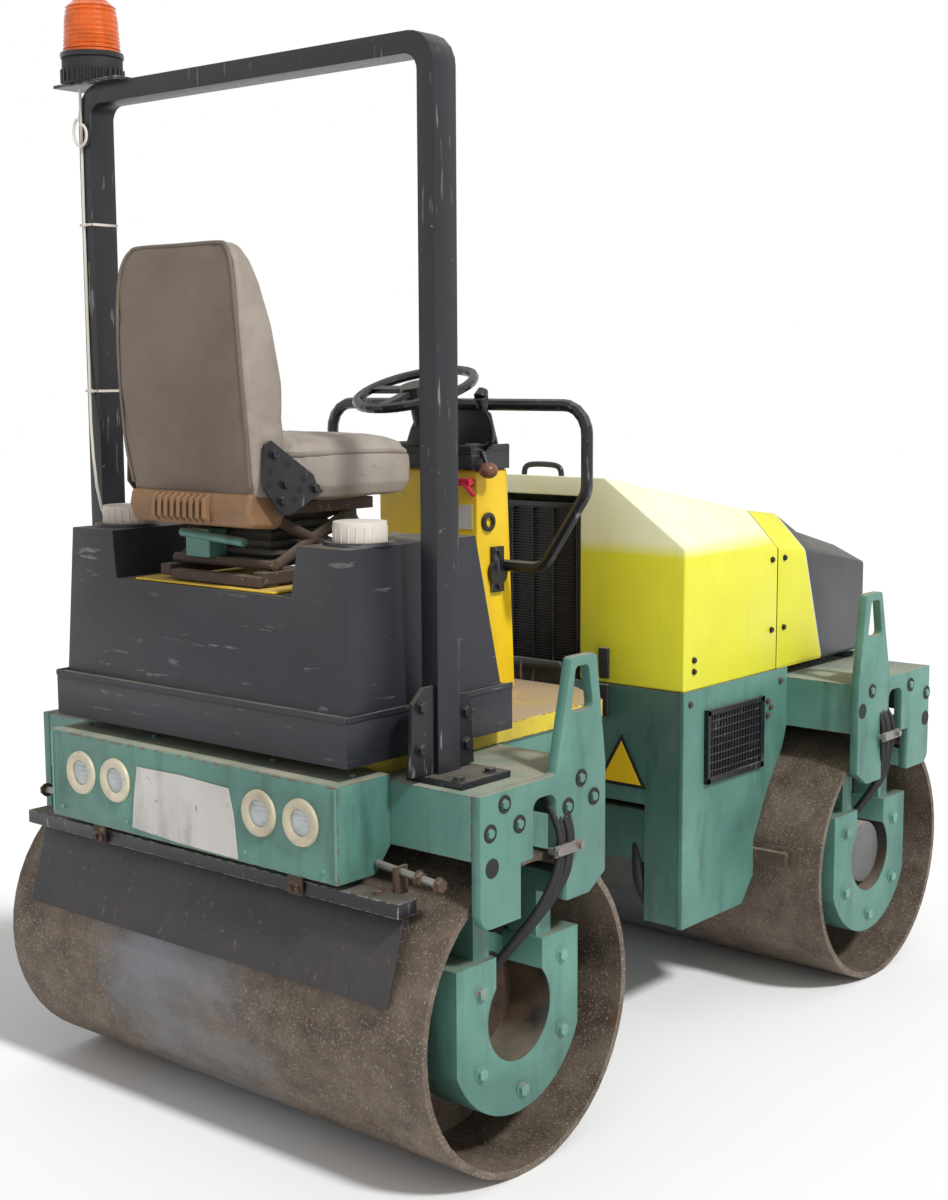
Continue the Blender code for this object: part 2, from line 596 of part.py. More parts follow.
def build_console():
    side = [(CONSOLE_REAR, PLATFORM_TOP), (CONSOLE_FRONT + 0.030, PLATFORM_TOP), (CONSOLE_FRONT, CONSOLE_TOP),
            (CONSOLE_REAR, CONSOLE_TOP)]
    solid("steering_console", "yellow_paint", [prism(side, "y", -CONSOLE_HALF, CONSOLE_HALF)])
    dash = rounded([(CONSOLE_REAR - 0.025, CONSOLE_TOP + GAP, 0.01), (CONSOLE_FRONT + 0.003, CONSOLE_TOP + GAP, 0),
                    (CONSOLE_FRONT + 0.003, DASH_TOP, 0), (CONSOLE_REAR - 0.025, DASH_TOP, 0.01)])
    solid("dashboard", "black_plastic", [prism(dash, "y", -CONSOLE_HALF - 0.005, CONSOLE_HALF + 0.005)])
    shield = [(-0.149, 1.490), (0.149, 1.490), (0.106, 1.637), (0.040, 1.667), (-0.040, 1.667), (-0.106, 1.637)]
    front = CONSOLE_FRONT + 0.003 + GAP
    solid("dash_shield", "black_plastic", [prism(shield, "x", front, front + 0.008)])
    rail = rounded([(-CONSOLE_HALF - GAP, 1.255, 0), (-0.295, 1.255, 0.06), (-RAIL_HALF, 1.450, 0.06),
                    (-RAIL_HALF, RAIL_TOP, 0.07), (RAIL_HALF, RAIL_TOP, 0.07), (RAIL_HALF, 1.450, 0.06),
                    (0.295, 1.255, 0.06), (CONSOLE_HALF + GAP, 1.255, 0)], 5)
    tube("handrail", "black_paint", [(RAIL_X, y, z) for y, z in rail], RAIL_R)


def build_steering_wheel():
    """Column fixed to the dashboard, and the wheel on its top."""
    centre = Vector(WHEEL_AT)
    turn = Matrix.Rotation(-WHEEL_TILT, 4, "Y")

    def tilted(shape):
        bmesh.ops.transform(shape, matrix=Matrix.Translation(centre) @ turn, verts=shape.verts)
        return shape

    column = tilted(cylinder("z", (0, 0), 0.024, -0.165, -0.036, 20))
    below = box(-1, 1, -1, 1, DASH_TOP - 0.4, DASH_TOP + GAP)
    solid("steering_column", "black_plastic", [column], [below])
    rim = bmesh.new()
    rounds, sides = 36, 8
    rings = []
    for i in range(rounds):
        a = 2 * math.pi * i / rounds
        rings.append([rim.verts.new(((WHEEL_R + WHEEL_TUBE * math.cos(b)) * math.cos(a),
                                     (WHEEL_R + WHEEL_TUBE * math.cos(b)) * math.sin(a),
                                     WHEEL_TUBE * math.sin(b)))
                      for b in (2 * math.pi * k / sides for k in range(sides))])
    for i in range(rounds):
        for k in range(sides):
            here, there = rings[i], rings[(i + 1) % rounds]
            rim.faces.new((here[k], here[(k + 1) % sides], there[(k + 1) % sides], there[k]))
    bmesh.ops.recalc_face_normals(rim, faces=rim.faces)
    spoke_end = WHEEL_R - 0.002
    spokes = [box(-0.014, 0.014, -spoke_end, spoke_end, -0.008, 0.004),
              box(-spoke_end, 0.0, -0.0145, 0.0145, -0.0075, 0.0045)]
    hub = cylinder("z", (0, 0), 0.040, -0.035, 0.012, 24)
    solid("steering_wheel", "black_plastic", [tilted(shape) for shape in (rim, hub, *spokes)], [],
          WHEEL_AT, smooth=True)


def main():
    for thing in list(bpy.data.objects):
        bpy.data.objects.remove(thing, do_unlink=True)
    for half, side in (("rear", -1), ("front", 1)):
        build_half(half, side)
    build_lamps()
    build_rear_chassis()
    build_knuckle()
    build_cylinder()
    build_front_chassis()
    build_engine_bay()
    build_hood()
    build_platform()
    build_tank()
    build_seat()
    build_rops()
    build_console()
    build_steering_wheel()


main()
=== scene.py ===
"""Looks of the articulated tandem road roller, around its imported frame.

Metres, in the frame's axes: +X forward, +Y left, +Z up.
In loops way is -1 for the rear half and +1 for the front, and side is -1 for the right and +1 for the left.
"""

import json
import math

import bmesh
import bpy
from mathutils import Matrix, Vector, noise


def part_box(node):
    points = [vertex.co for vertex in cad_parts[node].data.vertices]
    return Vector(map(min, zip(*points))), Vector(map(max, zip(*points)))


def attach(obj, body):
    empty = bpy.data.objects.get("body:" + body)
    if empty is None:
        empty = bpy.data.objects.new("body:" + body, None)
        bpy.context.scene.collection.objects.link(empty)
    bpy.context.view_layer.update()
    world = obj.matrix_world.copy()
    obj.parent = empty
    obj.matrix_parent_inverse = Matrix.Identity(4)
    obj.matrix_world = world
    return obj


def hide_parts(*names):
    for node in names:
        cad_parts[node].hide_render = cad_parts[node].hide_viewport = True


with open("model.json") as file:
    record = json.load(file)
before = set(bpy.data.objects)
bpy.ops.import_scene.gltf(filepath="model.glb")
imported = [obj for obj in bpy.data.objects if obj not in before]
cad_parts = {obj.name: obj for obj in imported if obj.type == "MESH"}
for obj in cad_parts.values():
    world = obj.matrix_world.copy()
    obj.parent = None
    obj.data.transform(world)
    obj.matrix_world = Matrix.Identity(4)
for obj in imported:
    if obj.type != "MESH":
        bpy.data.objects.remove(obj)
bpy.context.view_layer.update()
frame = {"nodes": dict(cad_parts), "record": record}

NODES = frame["nodes"]


# ---- places on the frame, taken from its nodes ----
def middle(node):
    low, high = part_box(node)
    return Vector(((a + b) / 2 for a, b in zip(low, high)))


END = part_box("front_lamp_box")[1][0]                    # outer face of a lamp box
YOKE_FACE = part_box("rear_yoke_left")[1][1]              # outer face of a side plate
HANGER_FACE = 0.659                                     # |y| of a horseshoe, whose box also holds its feet
BEARING_FACE = 0.538                                    # inside this |y| a horseshoe is its bearing plate
BORE_R = 0.1085
AXLE_U, _, AXLE_Z = middle("front_drum")
CHASSIS_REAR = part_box("front_chassis")[0][0]
CHASSIS_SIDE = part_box("front_chassis")[1][1]
TANK_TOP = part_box("water_tank")[1][2]
BEACON_X, BEACON_Y, _ = middle("beacon_lens")
CAP_X, CAP_Y, _ = middle("tank_cap_left")
CONSOLE_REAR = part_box("steering_console")[0][0]
CONSOLE_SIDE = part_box("steering_console")[0][1]
SKIN = 0.0003                                           # between a thin piece and the face it lies on

# ---- camera, light and floor ----
CAMERA_AT = Vector((-3.6762, -2.9384, 1.7424))
YAW, PITCH, ROLL = (math.radians(angle) for angle in (40.017, -7.467, -0.294))
LENS = 52.28
WHITE = (1.0, 1.0, 1.0, 1.0)


def make_camera():
    bpy.context.scene.view_settings.view_transform = "Standard"
    forward = Vector((math.cos(YAW) * math.cos(PITCH), math.sin(YAW) * math.cos(PITCH), math.sin(PITCH)))
    level = Vector((math.sin(YAW), -math.cos(YAW), 0))
    up = level.cross(forward)
    across = level * math.cos(ROLL) + up * math.sin(ROLL)
    high = up * math.cos(ROLL) - level * math.sin(ROLL)
    camera = bpy.data.objects.new("camera", bpy.data.cameras.new("camera"))
    camera.data.lens = LENS
    camera.data.sensor_width = 36
    turn = Matrix((across, high, -forward)).transposed()
    camera.matrix_world = Matrix.Translation(CAMERA_AT) @ turn.to_4x4()
    bpy.context.scene.collection.objects.link(camera)
    bpy.context.scene.camera = camera


def make_light():
    sun = bpy.data.objects.new("sun", bpy.data.lights.new("sun", "SUN"))
    sun.data.energy = 2.6
    sun.data.angle = math.radians(7)
    sun.rotation_euler = Vector((0.15, 0.80, -0.85)).to_track_quat("-Z", "Y").to_euler()
    bpy.context.scene.collection.objects.link(sun)
    world = bpy.data.worlds.new("studio")
    bpy.context.scene.world = world
    world.use_nodes = True
    tree = world.node_tree
    background = tree.nodes["Background"]
    background.inputs["Color"].default_value = WHITE
    path = tree.nodes.new("ShaderNodeLightPath")
    seen = tree.nodes.new("ShaderNodeMath")
    seen.operation = "MAXIMUM"
    tree.links.new(path.outputs["Is Camera Ray"], seen.inputs[0])
    tree.links.new(path.outputs["Is Glossy Ray"], seen.inputs[1])
    strength = tree.nodes.new("ShaderNodeMapRange")
    strength.inputs["To Min"].default_value = 0.52
    strength.inputs["To Max"].default_value = 1.0
    tree.links.new(seen.outputs[0], strength.inputs["Value"])
    tree.links.new(strength.outputs[0], background.inputs["Strength"])


def make_floor():
    mesh = bpy.data.meshes.new("floor")
    mesh.from_pydata([(-30, -30, 0), (30, -30, 0), (30, 30, 0), (-30, 30, 0)], [], [(0, 1, 2, 3)])
    floor = bpy.data.objects.new("floor", mesh)
    bpy.context.scene.collection.objects.link(floor)
    material = bpy.data.materials.new("floor")
    material.use_nodes = True
    shader = material.node_tree.nodes["Principled BSDF"]
    shader.inputs["Base Color"].default_value = (0.94, 0.94, 0.94, 1)
    shader.inputs["Roughness"].default_value = 0.9
    mesh.materials.append(material)


# ---- materials ----
class Graph:
    """Short names for the few shader nodes that every finish is made of."""

    def __init__(self, name):
        self.material = bpy.data.materials.new(name)
        self.material.use_nodes = True
        self.tree = self.material.node_tree
        self.shader = self.tree.nodes["Principled BSDF"]
        self.where = self.tree.nodes.new("ShaderNodeTexCoord")

    def put(self, value, socket):
        if isinstance(value, bpy.types.NodeSocket):
            self.tree.links.new(value, socket)
        elif isinstance(value, tuple) and len(value) == 3 and socket.type == "RGBA":
            socket.default_value = (*value, 1)
        else:
            socket.default_value = value

    def noise(self, scale, detail=4.0, rough=0.6, stretch=(1, 1, 1)):
        mapping = self.tree.nodes.new("ShaderNodeMapping")
        mapping.inputs["Scale"].default_value = stretch
        self.put(self.where.outputs["Object"], mapping.inputs["Vector"])
        node = self.tree.nodes.new("ShaderNodeTexNoise")
        self.put(mapping.outputs[0], node.inputs["Vector"])
        node.inputs["Scale"].default_value = scale
        node.inputs["Detail"].default_value = detail
        node.inputs["Roughness"].default_value = rough
        return node.outputs["Fac"]

    def range(self, value, low, high, to_low=0.0, to_high=1.0):
        node = self.tree.nodes.new("ShaderNodeMapRange")
        for key, number in (("From Min", low), ("From Max", high), ("To Min", to_low), ("To Max", to_high)):
            node.inputs[key].default_value = number
        self.put(value, node.inputs["Value"])
        return node.outputs[0]

    def math(self, operation, a, b=0.0):
        node = self.tree.nodes.new("ShaderNodeMath")
        node.operation = operation
        self.put(a, node.inputs[0])
        self.put(b, node.inputs[1])
        return node.outputs[0]

    def mix(self, amount, a, b):
        node = self.tree.nodes.new("ShaderNodeMix")
        node.data_type = "RGBA"
        self.put(amount, node.inputs["Factor"])
        self.put(a, node.inputs["A"])
        self.put(b, node.inputs["B"])
        return node.outputs["Result"]

    def part(self, source, key):
        node = self.tree.nodes.new("ShaderNodeSeparateXYZ")
        self.put(self.where.outputs[source], node.inputs[0])
        return node.outputs[key]

    def finish(self, colour, rough, height=None, depth=0.001, strength=0.5):
        self.put(colour, self.shader.inputs["Base Color"])
        self.put(rough, self.shader.inputs["Roughness"])
        if height is not None:
            bump = self.tree.nodes.new("ShaderNodeBump")
            bump.inputs["Distance"].default_value = depth
            bump.inputs["Strength"].default_value = strength
            self.put(height, bump.inputs["Height"])
            self.put(bump.outputs[0], self.shader.inputs["Normal"])
        return self.material


def worn(name, colour, dark, rough=0.5, dust=(0.42, 0.36, 0.27), dust_amount=0.8, chip=(0.16, 0.08, 0.04),
         chips=0.66, grime=0.5, metallic=0.0, grain=260.0, depth=0.0006, edge=False, second=None,
         scratch=None):
    """Weathered paint or moulded plastic: clouds, streaks of grime, chips, scratches, and dust on top faces.

    second changes the clean colour before the wear, and edge makes the finish of a worn edge.
    """
    g = Graph(name)
    g.shader.inputs["Metallic"].default_value = metallic
    clouds = g.noise(3.2, 6)
    base = g.mix(g.range(clouds, 0.35, 0.68), dark, colour)
    if second:
        base = second(g, base)
    streaks = g.range(g.noise(14, 5, 0.65, (1, 1, 0.18)), 0.52, 0.72)
    base = g.mix(g.math("MULTIPLY", streaks, grime), base, tuple(0.42 * c for c in dark))
    spots = g.range(g.noise(38, 8, 0.7), chips, chips + 0.03)
    wear = g.range(g.noise(55, 6), 0.46, 0.54) if edge else spots
    if scratch:
        lines = g.range(g.noise(70, 3, 0.5, scratch), 0.64, 0.68)
        wear = g.math("MAXIMUM", wear, g.math("MULTIPLY", lines, g.range(g.noise(5, 5), 0.46, 0.60)))
    base = g.mix(wear, base, chip)
    up = g.range(g.part("Normal", "Z"), 0.55, 0.95)
    settled = g.math("MULTIPLY", up, g.range(g.noise(7, 7, 0.65), 0.30, 0.62, 0.25, 1.0))
    base = g.mix(g.math("MULTIPLY", settled, dust_amount), base, dust)
    fine = g.noise(grain, 3)
    shade = g.math("ADD", g.range(fine, 0.3, 0.7, -0.08, 0.08), g.range(settled, 0, 1, rough, 0.9))
    height = g.math("SUBTRACT", g.math("MULTIPLY", fine, 0.5), g.math("MULTIPLY", wear, 0.6))
    return g.finish(base, shade, height, depth)


def drum_finish():
    """Rolled steel: rust and dried dirt in specks, a polished bluish band round the middle, brown ends."""
    g = Graph("drum_steel")
    g.shader.inputs["Metallic"].default_value = 0.25
    brown = g.mix(g.range(g.noise(9, 8, 0.7), 0.35, 0.65), (0.075, 0.052, 0.037), (0.19, 0.148, 0.112))
    speck = g.range(g.noise(170, 4, 0.75), 0.56, 0.66)
    brown = g.mix(speck, brown, (0.42, 0.36, 0.30))
    across = g.math("ABSOLUTE", g.math("SUBTRACT", g.part("Object", "Y"), 0.05))
    wander = g.range(g.noise(4, 6), 0.3, 0.7, -0.10, 0.10)
    band = g.range(g.math("ADD", across, wander), 0.16, 0.34, 1.0, 0.0)
    rubbed = g.math("MULTIPLY", band, g.range(g.noise(3, 7, 0.6, (1, 0.35, 1)), 0.38, 0.6))
    colour = g.mix(g.math("MULTIPLY", rubbed, 0.85), brown, (0.185, 0.20, 0.225))
    rust = g.range(g.noise(5, 8, 0.72, (1, 3, 1)), 0.60, 0.72)
    colour = g.mix(g.math("MULTIPLY", rust, 0.6), colour, (0.21, 0.095, 0.035))
    height = g.math("ADD", g.math("MULTIPLY", speck, 0.8), g.noise(60, 6))
    return g.finish(colour, g.range(rubbed, 0, 1, 0.72, 0.42), height, 0.0012, 0.7)


def glass_finish(name, colour, rough, transmission, ribs):
    g = Graph(name)
    g.shader.inputs["Transmission Weight"].default_value = transmission
    g.shader.inputs["IOR"].default_value = 1.45
    wave = g.tree.nodes.new("ShaderNodeTexWave")
    g.put(g.where.outputs["Object"], wave.inputs["Vector"])
    wave.bands_direction = "Z"
    wave.inputs["Scale"].default_value = ribs
    tint = g.mix(g.range(g.noise(30, 5), 0.4, 0.7), colour, tuple(0.75 * c for c in colour))
    return g.finish(tint, rough, wave.outputs["Fac"], 0.0012, 0.8)


def vinyl_finish(name="vinyl", light=(0.34, 0.295, 0.25), dark=(0.23, 0.185, 0.145)):
    g = Graph(name)
    base = g.mix(g.range(g.noise(5, 6), 0.35, 0.65), dark, light)
    if name == "vinyl":     # the rear panel is a darker brown than the bolsters
        panel = g.range(g.part("Normal", "X"), -0.86, -0.74, 1.0, 0.0)
        brown = g.mix(g.range(g.noise(4, 6), 0.35, 0.65), (0.115, 0.083, 0.060), (0.185, 0.140, 0.105))
        base = g.mix(panel, base, brown)
    stain = g.range(g.noise(2.2, 5, 0.6, (1, 1, 0.5)), 0.50, 0.68)
    base = g.mix(g.math("MULTIPLY", stain, 0.45), base, tuple(0.62 * c for c in dark))
    crack = g.range(g.noise(45, 9, 0.8), 0.60, 0.66)
    base = g.mix(g.math("MULTIPLY", crack, 0.4), base, tuple(0.5 * c for c in dark))
    height = g.math("SUBTRACT", g.noise(420, 2), g.math("MULTIPLY", crack, 0.8))
    return g.finish(base, g.range(g.noise(8), 0.3, 0.7, 0.48, 0.68), height, 0.0008, 0.6)


NOSE_CREASE_Z = 1.239       # the line is upright above this height
NOSE_SLANT = 0.329          # forward run of the line for each metre down


def nose_colours(g, lime):
    """Behind a slanted line the nose is lime like the hood, then a pale stripe, then grey-black plastic."""
    below = g.math("SUBTRACT", NOSE_CREASE_Z, g.math("MINIMUM", g.part("Object", "Z"), NOSE_CREASE_Z))
    line = g.math("SUBTRACT", g.part("Object", "X"), g.math("MULTIPLY", below, NOSE_SLANT))
    black = g.mix(g.range(g.noise(4, 6), 0.35, 0.65), (0.030, 0.031, 0.036), (0.052, 0.053, 0.060))
    base = g.mix(g.range(line, 0.6835, 0.6840), lime, (0.62, 0.62, 0.56))
    return g.mix(g.range(line, 0.6880, 0.6885), base, black)


def faded(g, lime):
    """The sun has bleached the roof."""
    high = g.range(g.part("Object", "Z"), 1.262, 1.30)
    patches = g.range(g.noise(2.4, 5), 0.3, 0.6, 0.55, 0.9)
    return g.mix(g.math("MULTIPLY", high, patches), lime, (0.86, 0.87, 0.66))


def greasy_shaded_bore(g, green):
    """The bearing plate and the horseshoe's bore are painted near black: greasy dirt, and painted shade in
    this recess between the horseshoe and the drum.
    """
    y = g.math("ABSOLUTE", g.part("Object", "Y"))
    dx = g.math("SUBTRACT", g.math("ABSOLUTE", g.part("Object", "X")), AXLE_U)
    dz = g.math("SUBTRACT", g.part("Object", "Z"), AXLE_Z)
    far = g.math("SQRT", g.math("ADD", g.math("MULTIPLY", dx, dx), g.math("MULTIPLY", dz, dz)))
    plate = g.range(y, BEARING_FACE, BEARING_FACE + 0.0005, 1.0, 0.0)
    inside = g.math("MAXIMUM", plate, g.range(far, BORE_R, BORE_R + 0.001, 1.0, 0.0))
    grease_and_shade = g.mix(g.range(g.noise(12, 6), 0.4, 0.6), (0.010, 0.009, 0.008), (0.060, 0.038, 0.022))
    return g.mix(inside, green, grease_and_shade)


RUST = (0.13, 0.065, 0.035)
LIME = ((0.78, 0.76, 0.045), (0.70, 0.68, 0.035))
GREEN = ((0.110, 0.262, 0.210), (0.066, 0.168, 0.138))
PAINTS = {        # name: (light, dark, how it is worn)
    "green_paint": (*GREEN, dict(rough=0.46, chip=RUST, chips=0.68, grime=0.65,
        dust=(0.4, 0.35, 0.26))),
    "hanger_paint": (*GREEN, dict(rough=0.46, chip=RUST, chips=0.69, dust=(0.2, 0.17, 0.12),
        dust_amount=0.6, second=greasy_shaded_bore)),
    "lime_paint": (*LIME, dict(rough=0.36, dust_amount=0.08, chips=0.78, grime=0.1,
        chip=(0.42, 0.38, 0.1), second=faded)),
    "nose_plastic": (*LIME, dict(rough=0.42, dust_amount=0.25, chips=0.78, grime=0.1,
        chip=(0.25, 0.25, 0.24), second=nose_colours)),
    "yellow_paint": ((0.86, 0.58, 0.012), (0.74, 0.47, 0.012), dict(rough=0.42, chips=0.72, grime=0.2,
        dust_amount=0.4)),
    "floor_plate": ((0.7, 0.55, 0.04), (0.5, 0.38, 0.04), dict(rough=0.7, dust=(0.42, 0.31, 0.19),
        dust_amount=1.6, depth=0.002, grain=90.0)),
    "black_paint": ((0.01, 0.011, 0.015), (0.006, 0.006, 0.009), dict(rough=0.38,
        chip=(0.16, 0.16, 0.17), chips=0.66, scratch=(1, 1, 0.1), dust_amount=0.3, grime=0.2)),
    "black_plastic": ((0.018, 0.019, 0.026), (0.01, 0.011, 0.015), dict(rough=0.46, chips=0.72,
        chip=(0.12, 0.115, 0.12), scratch=(0.12, 0.12, 1), dust_amount=0.35, grime=0.3)),
    "gloss_black": ((0.014, 0.014, 0.016), (0.009, 0.009, 0.011), dict(rough=0.24, chips=0.8,
        chip=(0.08, 0.08, 0.08), dust_amount=0.15, grime=0.1)),
    "deep_black": ((0.008, 0.008, 0.009), (0.005, 0.005, 0.006), dict(rough=0.7, chips=0.8,
        dust_amount=0.1)),
    "black_rubber": ((0.018, 0.018, 0.019), (0.01, 0.01, 0.01), dict(rough=0.72, chips=0.74,
        chip=(0.1, 0.08, 0.06), dust_amount=0.55)),
    "flap_rubber": ((0.02, 0.022, 0.03), (0.038, 0.033, 0.032), dict(rough=0.6, chips=0.61,
        chip=(0.085, 0.068, 0.054), dust_amount=0.3, dust=(0.16, 0.12, 0.09))),
    "bare_steel": ((0.33, 0.32, 0.31), (0.2, 0.18, 0.16), dict(rough=0.4, chip=RUST, chips=0.6,
        metallic=0.6, dust_amount=0.4)),
    "grey_cast": ((0.16, 0.165, 0.165), (0.09, 0.09, 0.085), dict(rough=0.55, chip=RUST, metallic=0.2)),
    "green_steel": ((0.15, 0.33, 0.265), (0.12, 0.25, 0.2), dict(rough=0.45, chip=(0.25, 0.22, 0.19),
        chips=0.6, dust_amount=0.3)),
    "white_plastic": ((0.76, 0.72, 0.65), (0.6, 0.54, 0.46), dict(rough=0.5, chips=0.76,
        dust_amount=0.12, grime=0.15, chip=(0.5, 0.45, 0.4))),
    "cream_ring": ((0.66, 0.6, 0.45), (0.48, 0.41, 0.28), dict(rough=0.5, chips=0.66,
        chip=(0.3, 0.24, 0.15))),
    "plate_blank": ((0.62, 0.6, 0.57), (0.5, 0.47, 0.43), dict(rough=0.6, chips=0.64, grime=0.5,
        chip=(0.33, 0.29, 0.24))),
    "rusty": ((0.1, 0.06, 0.04), (0.055, 0.035, 0.026), dict(rough=0.8, chips=0.6,
        chip=(0.2, 0.11, 0.06), dust_amount=0.35)),
    "red_plastic": ((0.6, 0.012, 0.045), (0.4, 0.008, 0.03), dict(rough=0.32, dust_amount=0.05,
        chips=0.8)),
    "knob_brown": ((0.22, 0.085, 0.045), (0.15, 0.055, 0.03), dict(rough=0.35, dust_amount=0.1,
        chips=0.8)),
}
EDGED = ("green_paint", "yellow_paint", "floor_plate", "black_paint", "black_plastic")


def make_finishes():
    finishes = {name: worn(name, *colours, **how) for name, (*colours, how) in PAINTS.items()}
    for name in EDGED:
        *colours, how = PAINTS[name]
        finishes[name + "_edge"] = worn(name + "_edge", *colours, edge=True, **how)
    finishes.update({
        "drum_steel": drum_finish(),
        "vinyl": vinyl_finish(),
        "vinyl_pale": vinyl_finish("vinyl_pale", (0.37, 0.325, 0.28), (0.26, 0.215, 0.17)),
        "vinyl_dark": vinyl_finish("vinyl_dark", (0.17, 0.135, 0.105), (0.12, 0.09, 0.07)),
        "strip_brown": vinyl_finish("strip_brown", (0.26, 0.14, 0.065), (0.17, 0.09, 0.045)),
        "amber_glass": glass_finish("amber_glass", (0.95, 0.16, 0.010), 0.15, 0.30, 26),
        "lamp_glass": glass_finish("lamp_glass", (0.55, 0.60, 0.60), 0.10, 0.10, 30),
    })
    return finishes


FINISH = make_finishes()


# ---- making pieces ----
def piece(name, bm, finish, body, bevel=0.0, smooth=True, levels=0):
    bmesh.ops.recalc_face_normals(bm, faces=bm.faces)
    mesh = bpy.data.meshes.new(name)
    bm.to_mesh(mesh)
    bm.free()
    thing = bpy.data.objects.new(name, mesh)
    bpy.context.scene.collection.objects.link(thing)
    mesh.materials.append(FINISH[finish])
    if bevel:
        add_bevel(thing, bevel)
    if levels:
        subdivide = thing.modifiers.new("subdivide", "SUBSURF")
        subdivide.levels = subdivide.render_levels = levels
    if smooth:
        mesh.shade_smooth()
        if not levels:
            mesh.set_sharp_from_angle(angle=math.radians(40))
    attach(thing, body)
    return thing


def add_bevel(thing, width, segments=2):
    weld = thing.modifiers.new("weld", "WELD")
    weld.merge_threshold = 0.00002
    bevel = thing.modifiers.new("bevel", "BEVEL")
    bevel.width = width
    bevel.segments = segments
    bevel.limit_method = "ANGLE"
    bevel.angle_limit = math.radians(32)
    bevel.harden_normals = True
    return bevel


def add_box(bm, low, high):
    """A box between two opposite corners, whichever way round each pair of numbers is."""
    made = bmesh.ops.create_cube(bm, size=1.0)["verts"]
    low, high = (Vector(corner) for corner in zip(*map(sorted, zip(low, high))))
    for vertex in made:
        vertex.co = Vector((low[i] + (vertex.co[i] + 0.5) * (high[i] - low[i]) for i in range(3)))


def add_rod(bm, start, end, radius, steps=16, tip=None):
    """A cylinder, or a cone where tip is another radius, between two points."""
    start, end = Vector(start), Vector(end)
    way = end - start
    turn = way.to_track_quat("Z", "Y").to_matrix().to_4x4()
    return bmesh.ops.create_cone(bm, cap_ends=True, segments=steps, radius1=radius,
                                 radius2=radius if tip is None else tip, depth=way.length,
                                 matrix=Matrix.Translation((start + end) / 2) @ turn)["verts"]


def add_bolt(bm, at, way, size):
    """Hex head on a washer, standing on a face at at, way outwards."""
    at, way = Vector(at), Vector(way)
    add_rod(bm, at, at + way * size * 0.18, size * 1.15, 20)
    add_rod(bm, at + way * size * 0.18, at + way * size * 0.85, size, 6)


def add_ring(bm, centre, way, outer, inner, depth, steps=28):
    centre, way = Vector(centre), Vector(way).normalized()
    turn = way.to_track_quat("Z", "Y")
    rows = []
    for i in range(steps):
        angle = 2 * math.pi * i / steps
        spoke = turn @ Vector((math.cos(angle), math.sin(angle), 0))
        rows.append([bm.verts.new(centre + spoke * r + way * h)
                     for r, h in ((outer, 0), (outer, depth), (inner, depth), (inner, 0))])
    for i in range(steps):
        here, there = rows[i], rows[(i + 1) % steps]
        for k in range(4):
            bm.faces.new((here[k], here[(k + 1) % 4], there[(k + 1) % 4], there[k]))


def add_lathe(bm, profile, centre, steps, axis="y"):
    """Closed ring turned from (radius, along) points about an axis through centre."""
    rows = []
    for i in range(steps):
        c, s = math.cos(2 * math.pi * i / steps), math.sin(2 * math.pi * i / steps)
        row = []
        for radius, along in profile:
            point = {"x": (along, radius * c, radius * s), "y": (radius * c, along, radius * s),
                     "z": (radius * c, radius * s, along)}[axis]
            row.append(bm.verts.new(Vector(point) + Vector(centre)))
        rows.append(row)
    count = len(profile)
    for i in range(steps):
        here, there = rows[i], rows[(i + 1) % steps]
        for k in range(count):
            bm.faces.new((here[k], here[(k + 1) % count], there[(k + 1) % count], there[k]))


def smooth_path(points, steps=8):
    """Points on a Catmull-Rom curve through the given ones."""
    points = [Vector(p) for p in points]
    ends = [points[0] * 2 - points[1], *points, points[-1] * 2 - points[-2]]
    path = []
    for a, b, c, d in zip(ends, ends[1:], ends[2:], ends[3:]):
        for k in range(steps):
            t = k / steps
            path.append(0.5 * ((2 * b) + (c - a) * t + (2 * a - 5 * b + 4 * c - d) * t * t
                               + (3 * b - a - 3 * c + d) * t ** 3))
    return [*path, points[-1]]


def hose(name, points, radius, finish, body):
    curve = bpy.data.curves.new(name, "CURVE")
    curve.dimensions = "3D"
    curve.bevel_depth = radius
    curve.bevel_resolution = 4
    curve.use_fill_caps = True
    path = smooth_path(points)
    spline = curve.splines.new("POLY")
    spline.points.add(len(path) - 1)
    for point, at in zip(spline.points, path):
        point.co = (*at, 1)
    thing = bpy.data.objects.new(name, curve)
    bpy.context.scene.collection.objects.link(thing)
    curve.materials.append(FINISH[finish])
    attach(thing, body)
    return thing


# ---- CAD nodes that stay, with their finish and softened edges ----
FINISH_BY_NODE = {
    "hood_nose": "nose_plastic",
    "operator_platform": "floor_plate",
    "beacon_cable": "white_plastic",
    "steering_wheel": "gloss_black",
}
for half in ("rear", "front"):
    FINISH_BY_NODE[f"{half}_drum_motor"] = "grey_cast"
    FINISH_BY_NODE[f"{half}_outer_scraper_flap"] = "flap_rubber"
    FINISH_BY_NODE[f"{half}_inner_scraper_bar"] = "rusty"
    for hand in ("left", "right"):
        FINISH_BY_NODE[f"{half}_drum_hanger_{hand}"] = "hanger_paint"

BEVELS = {"water_tank": 0.022, "engine_hood": 0.006, "hood_nose": 0.010, "steering_console": 0.008,
          "dashboard": 0.008, "rops_frame": 0.005, "tank_cap_left": 0.004, "tank_cap_right": 0.004}
UNBEVELLED = ("beacon_cable", "handrail", "beacon_lens", "rear_drum", "front_drum", "steering_wheel")


def finish_cad():
    slots = {row["node"]: row["material_slot"] for row in frame["record"]["subparts"]}
    for name, node in NODES.items():
        finish = FINISH_BY_NODE.get(name, slots[name])
        node.data.materials.clear()
        node.data.materials.append(FINISH[finish])
        if name not in UNBEVELLED:
            bevel = add_bevel(node, BEVELS.get(name, 0.0025), 3 if name in BEVELS else 2)
            if finish in EDGED and name not in BEVELS:
                node.data.materials.append(FINISH[finish + "_edge"])
                bevel.material = 1
        node.data.shade_smooth()


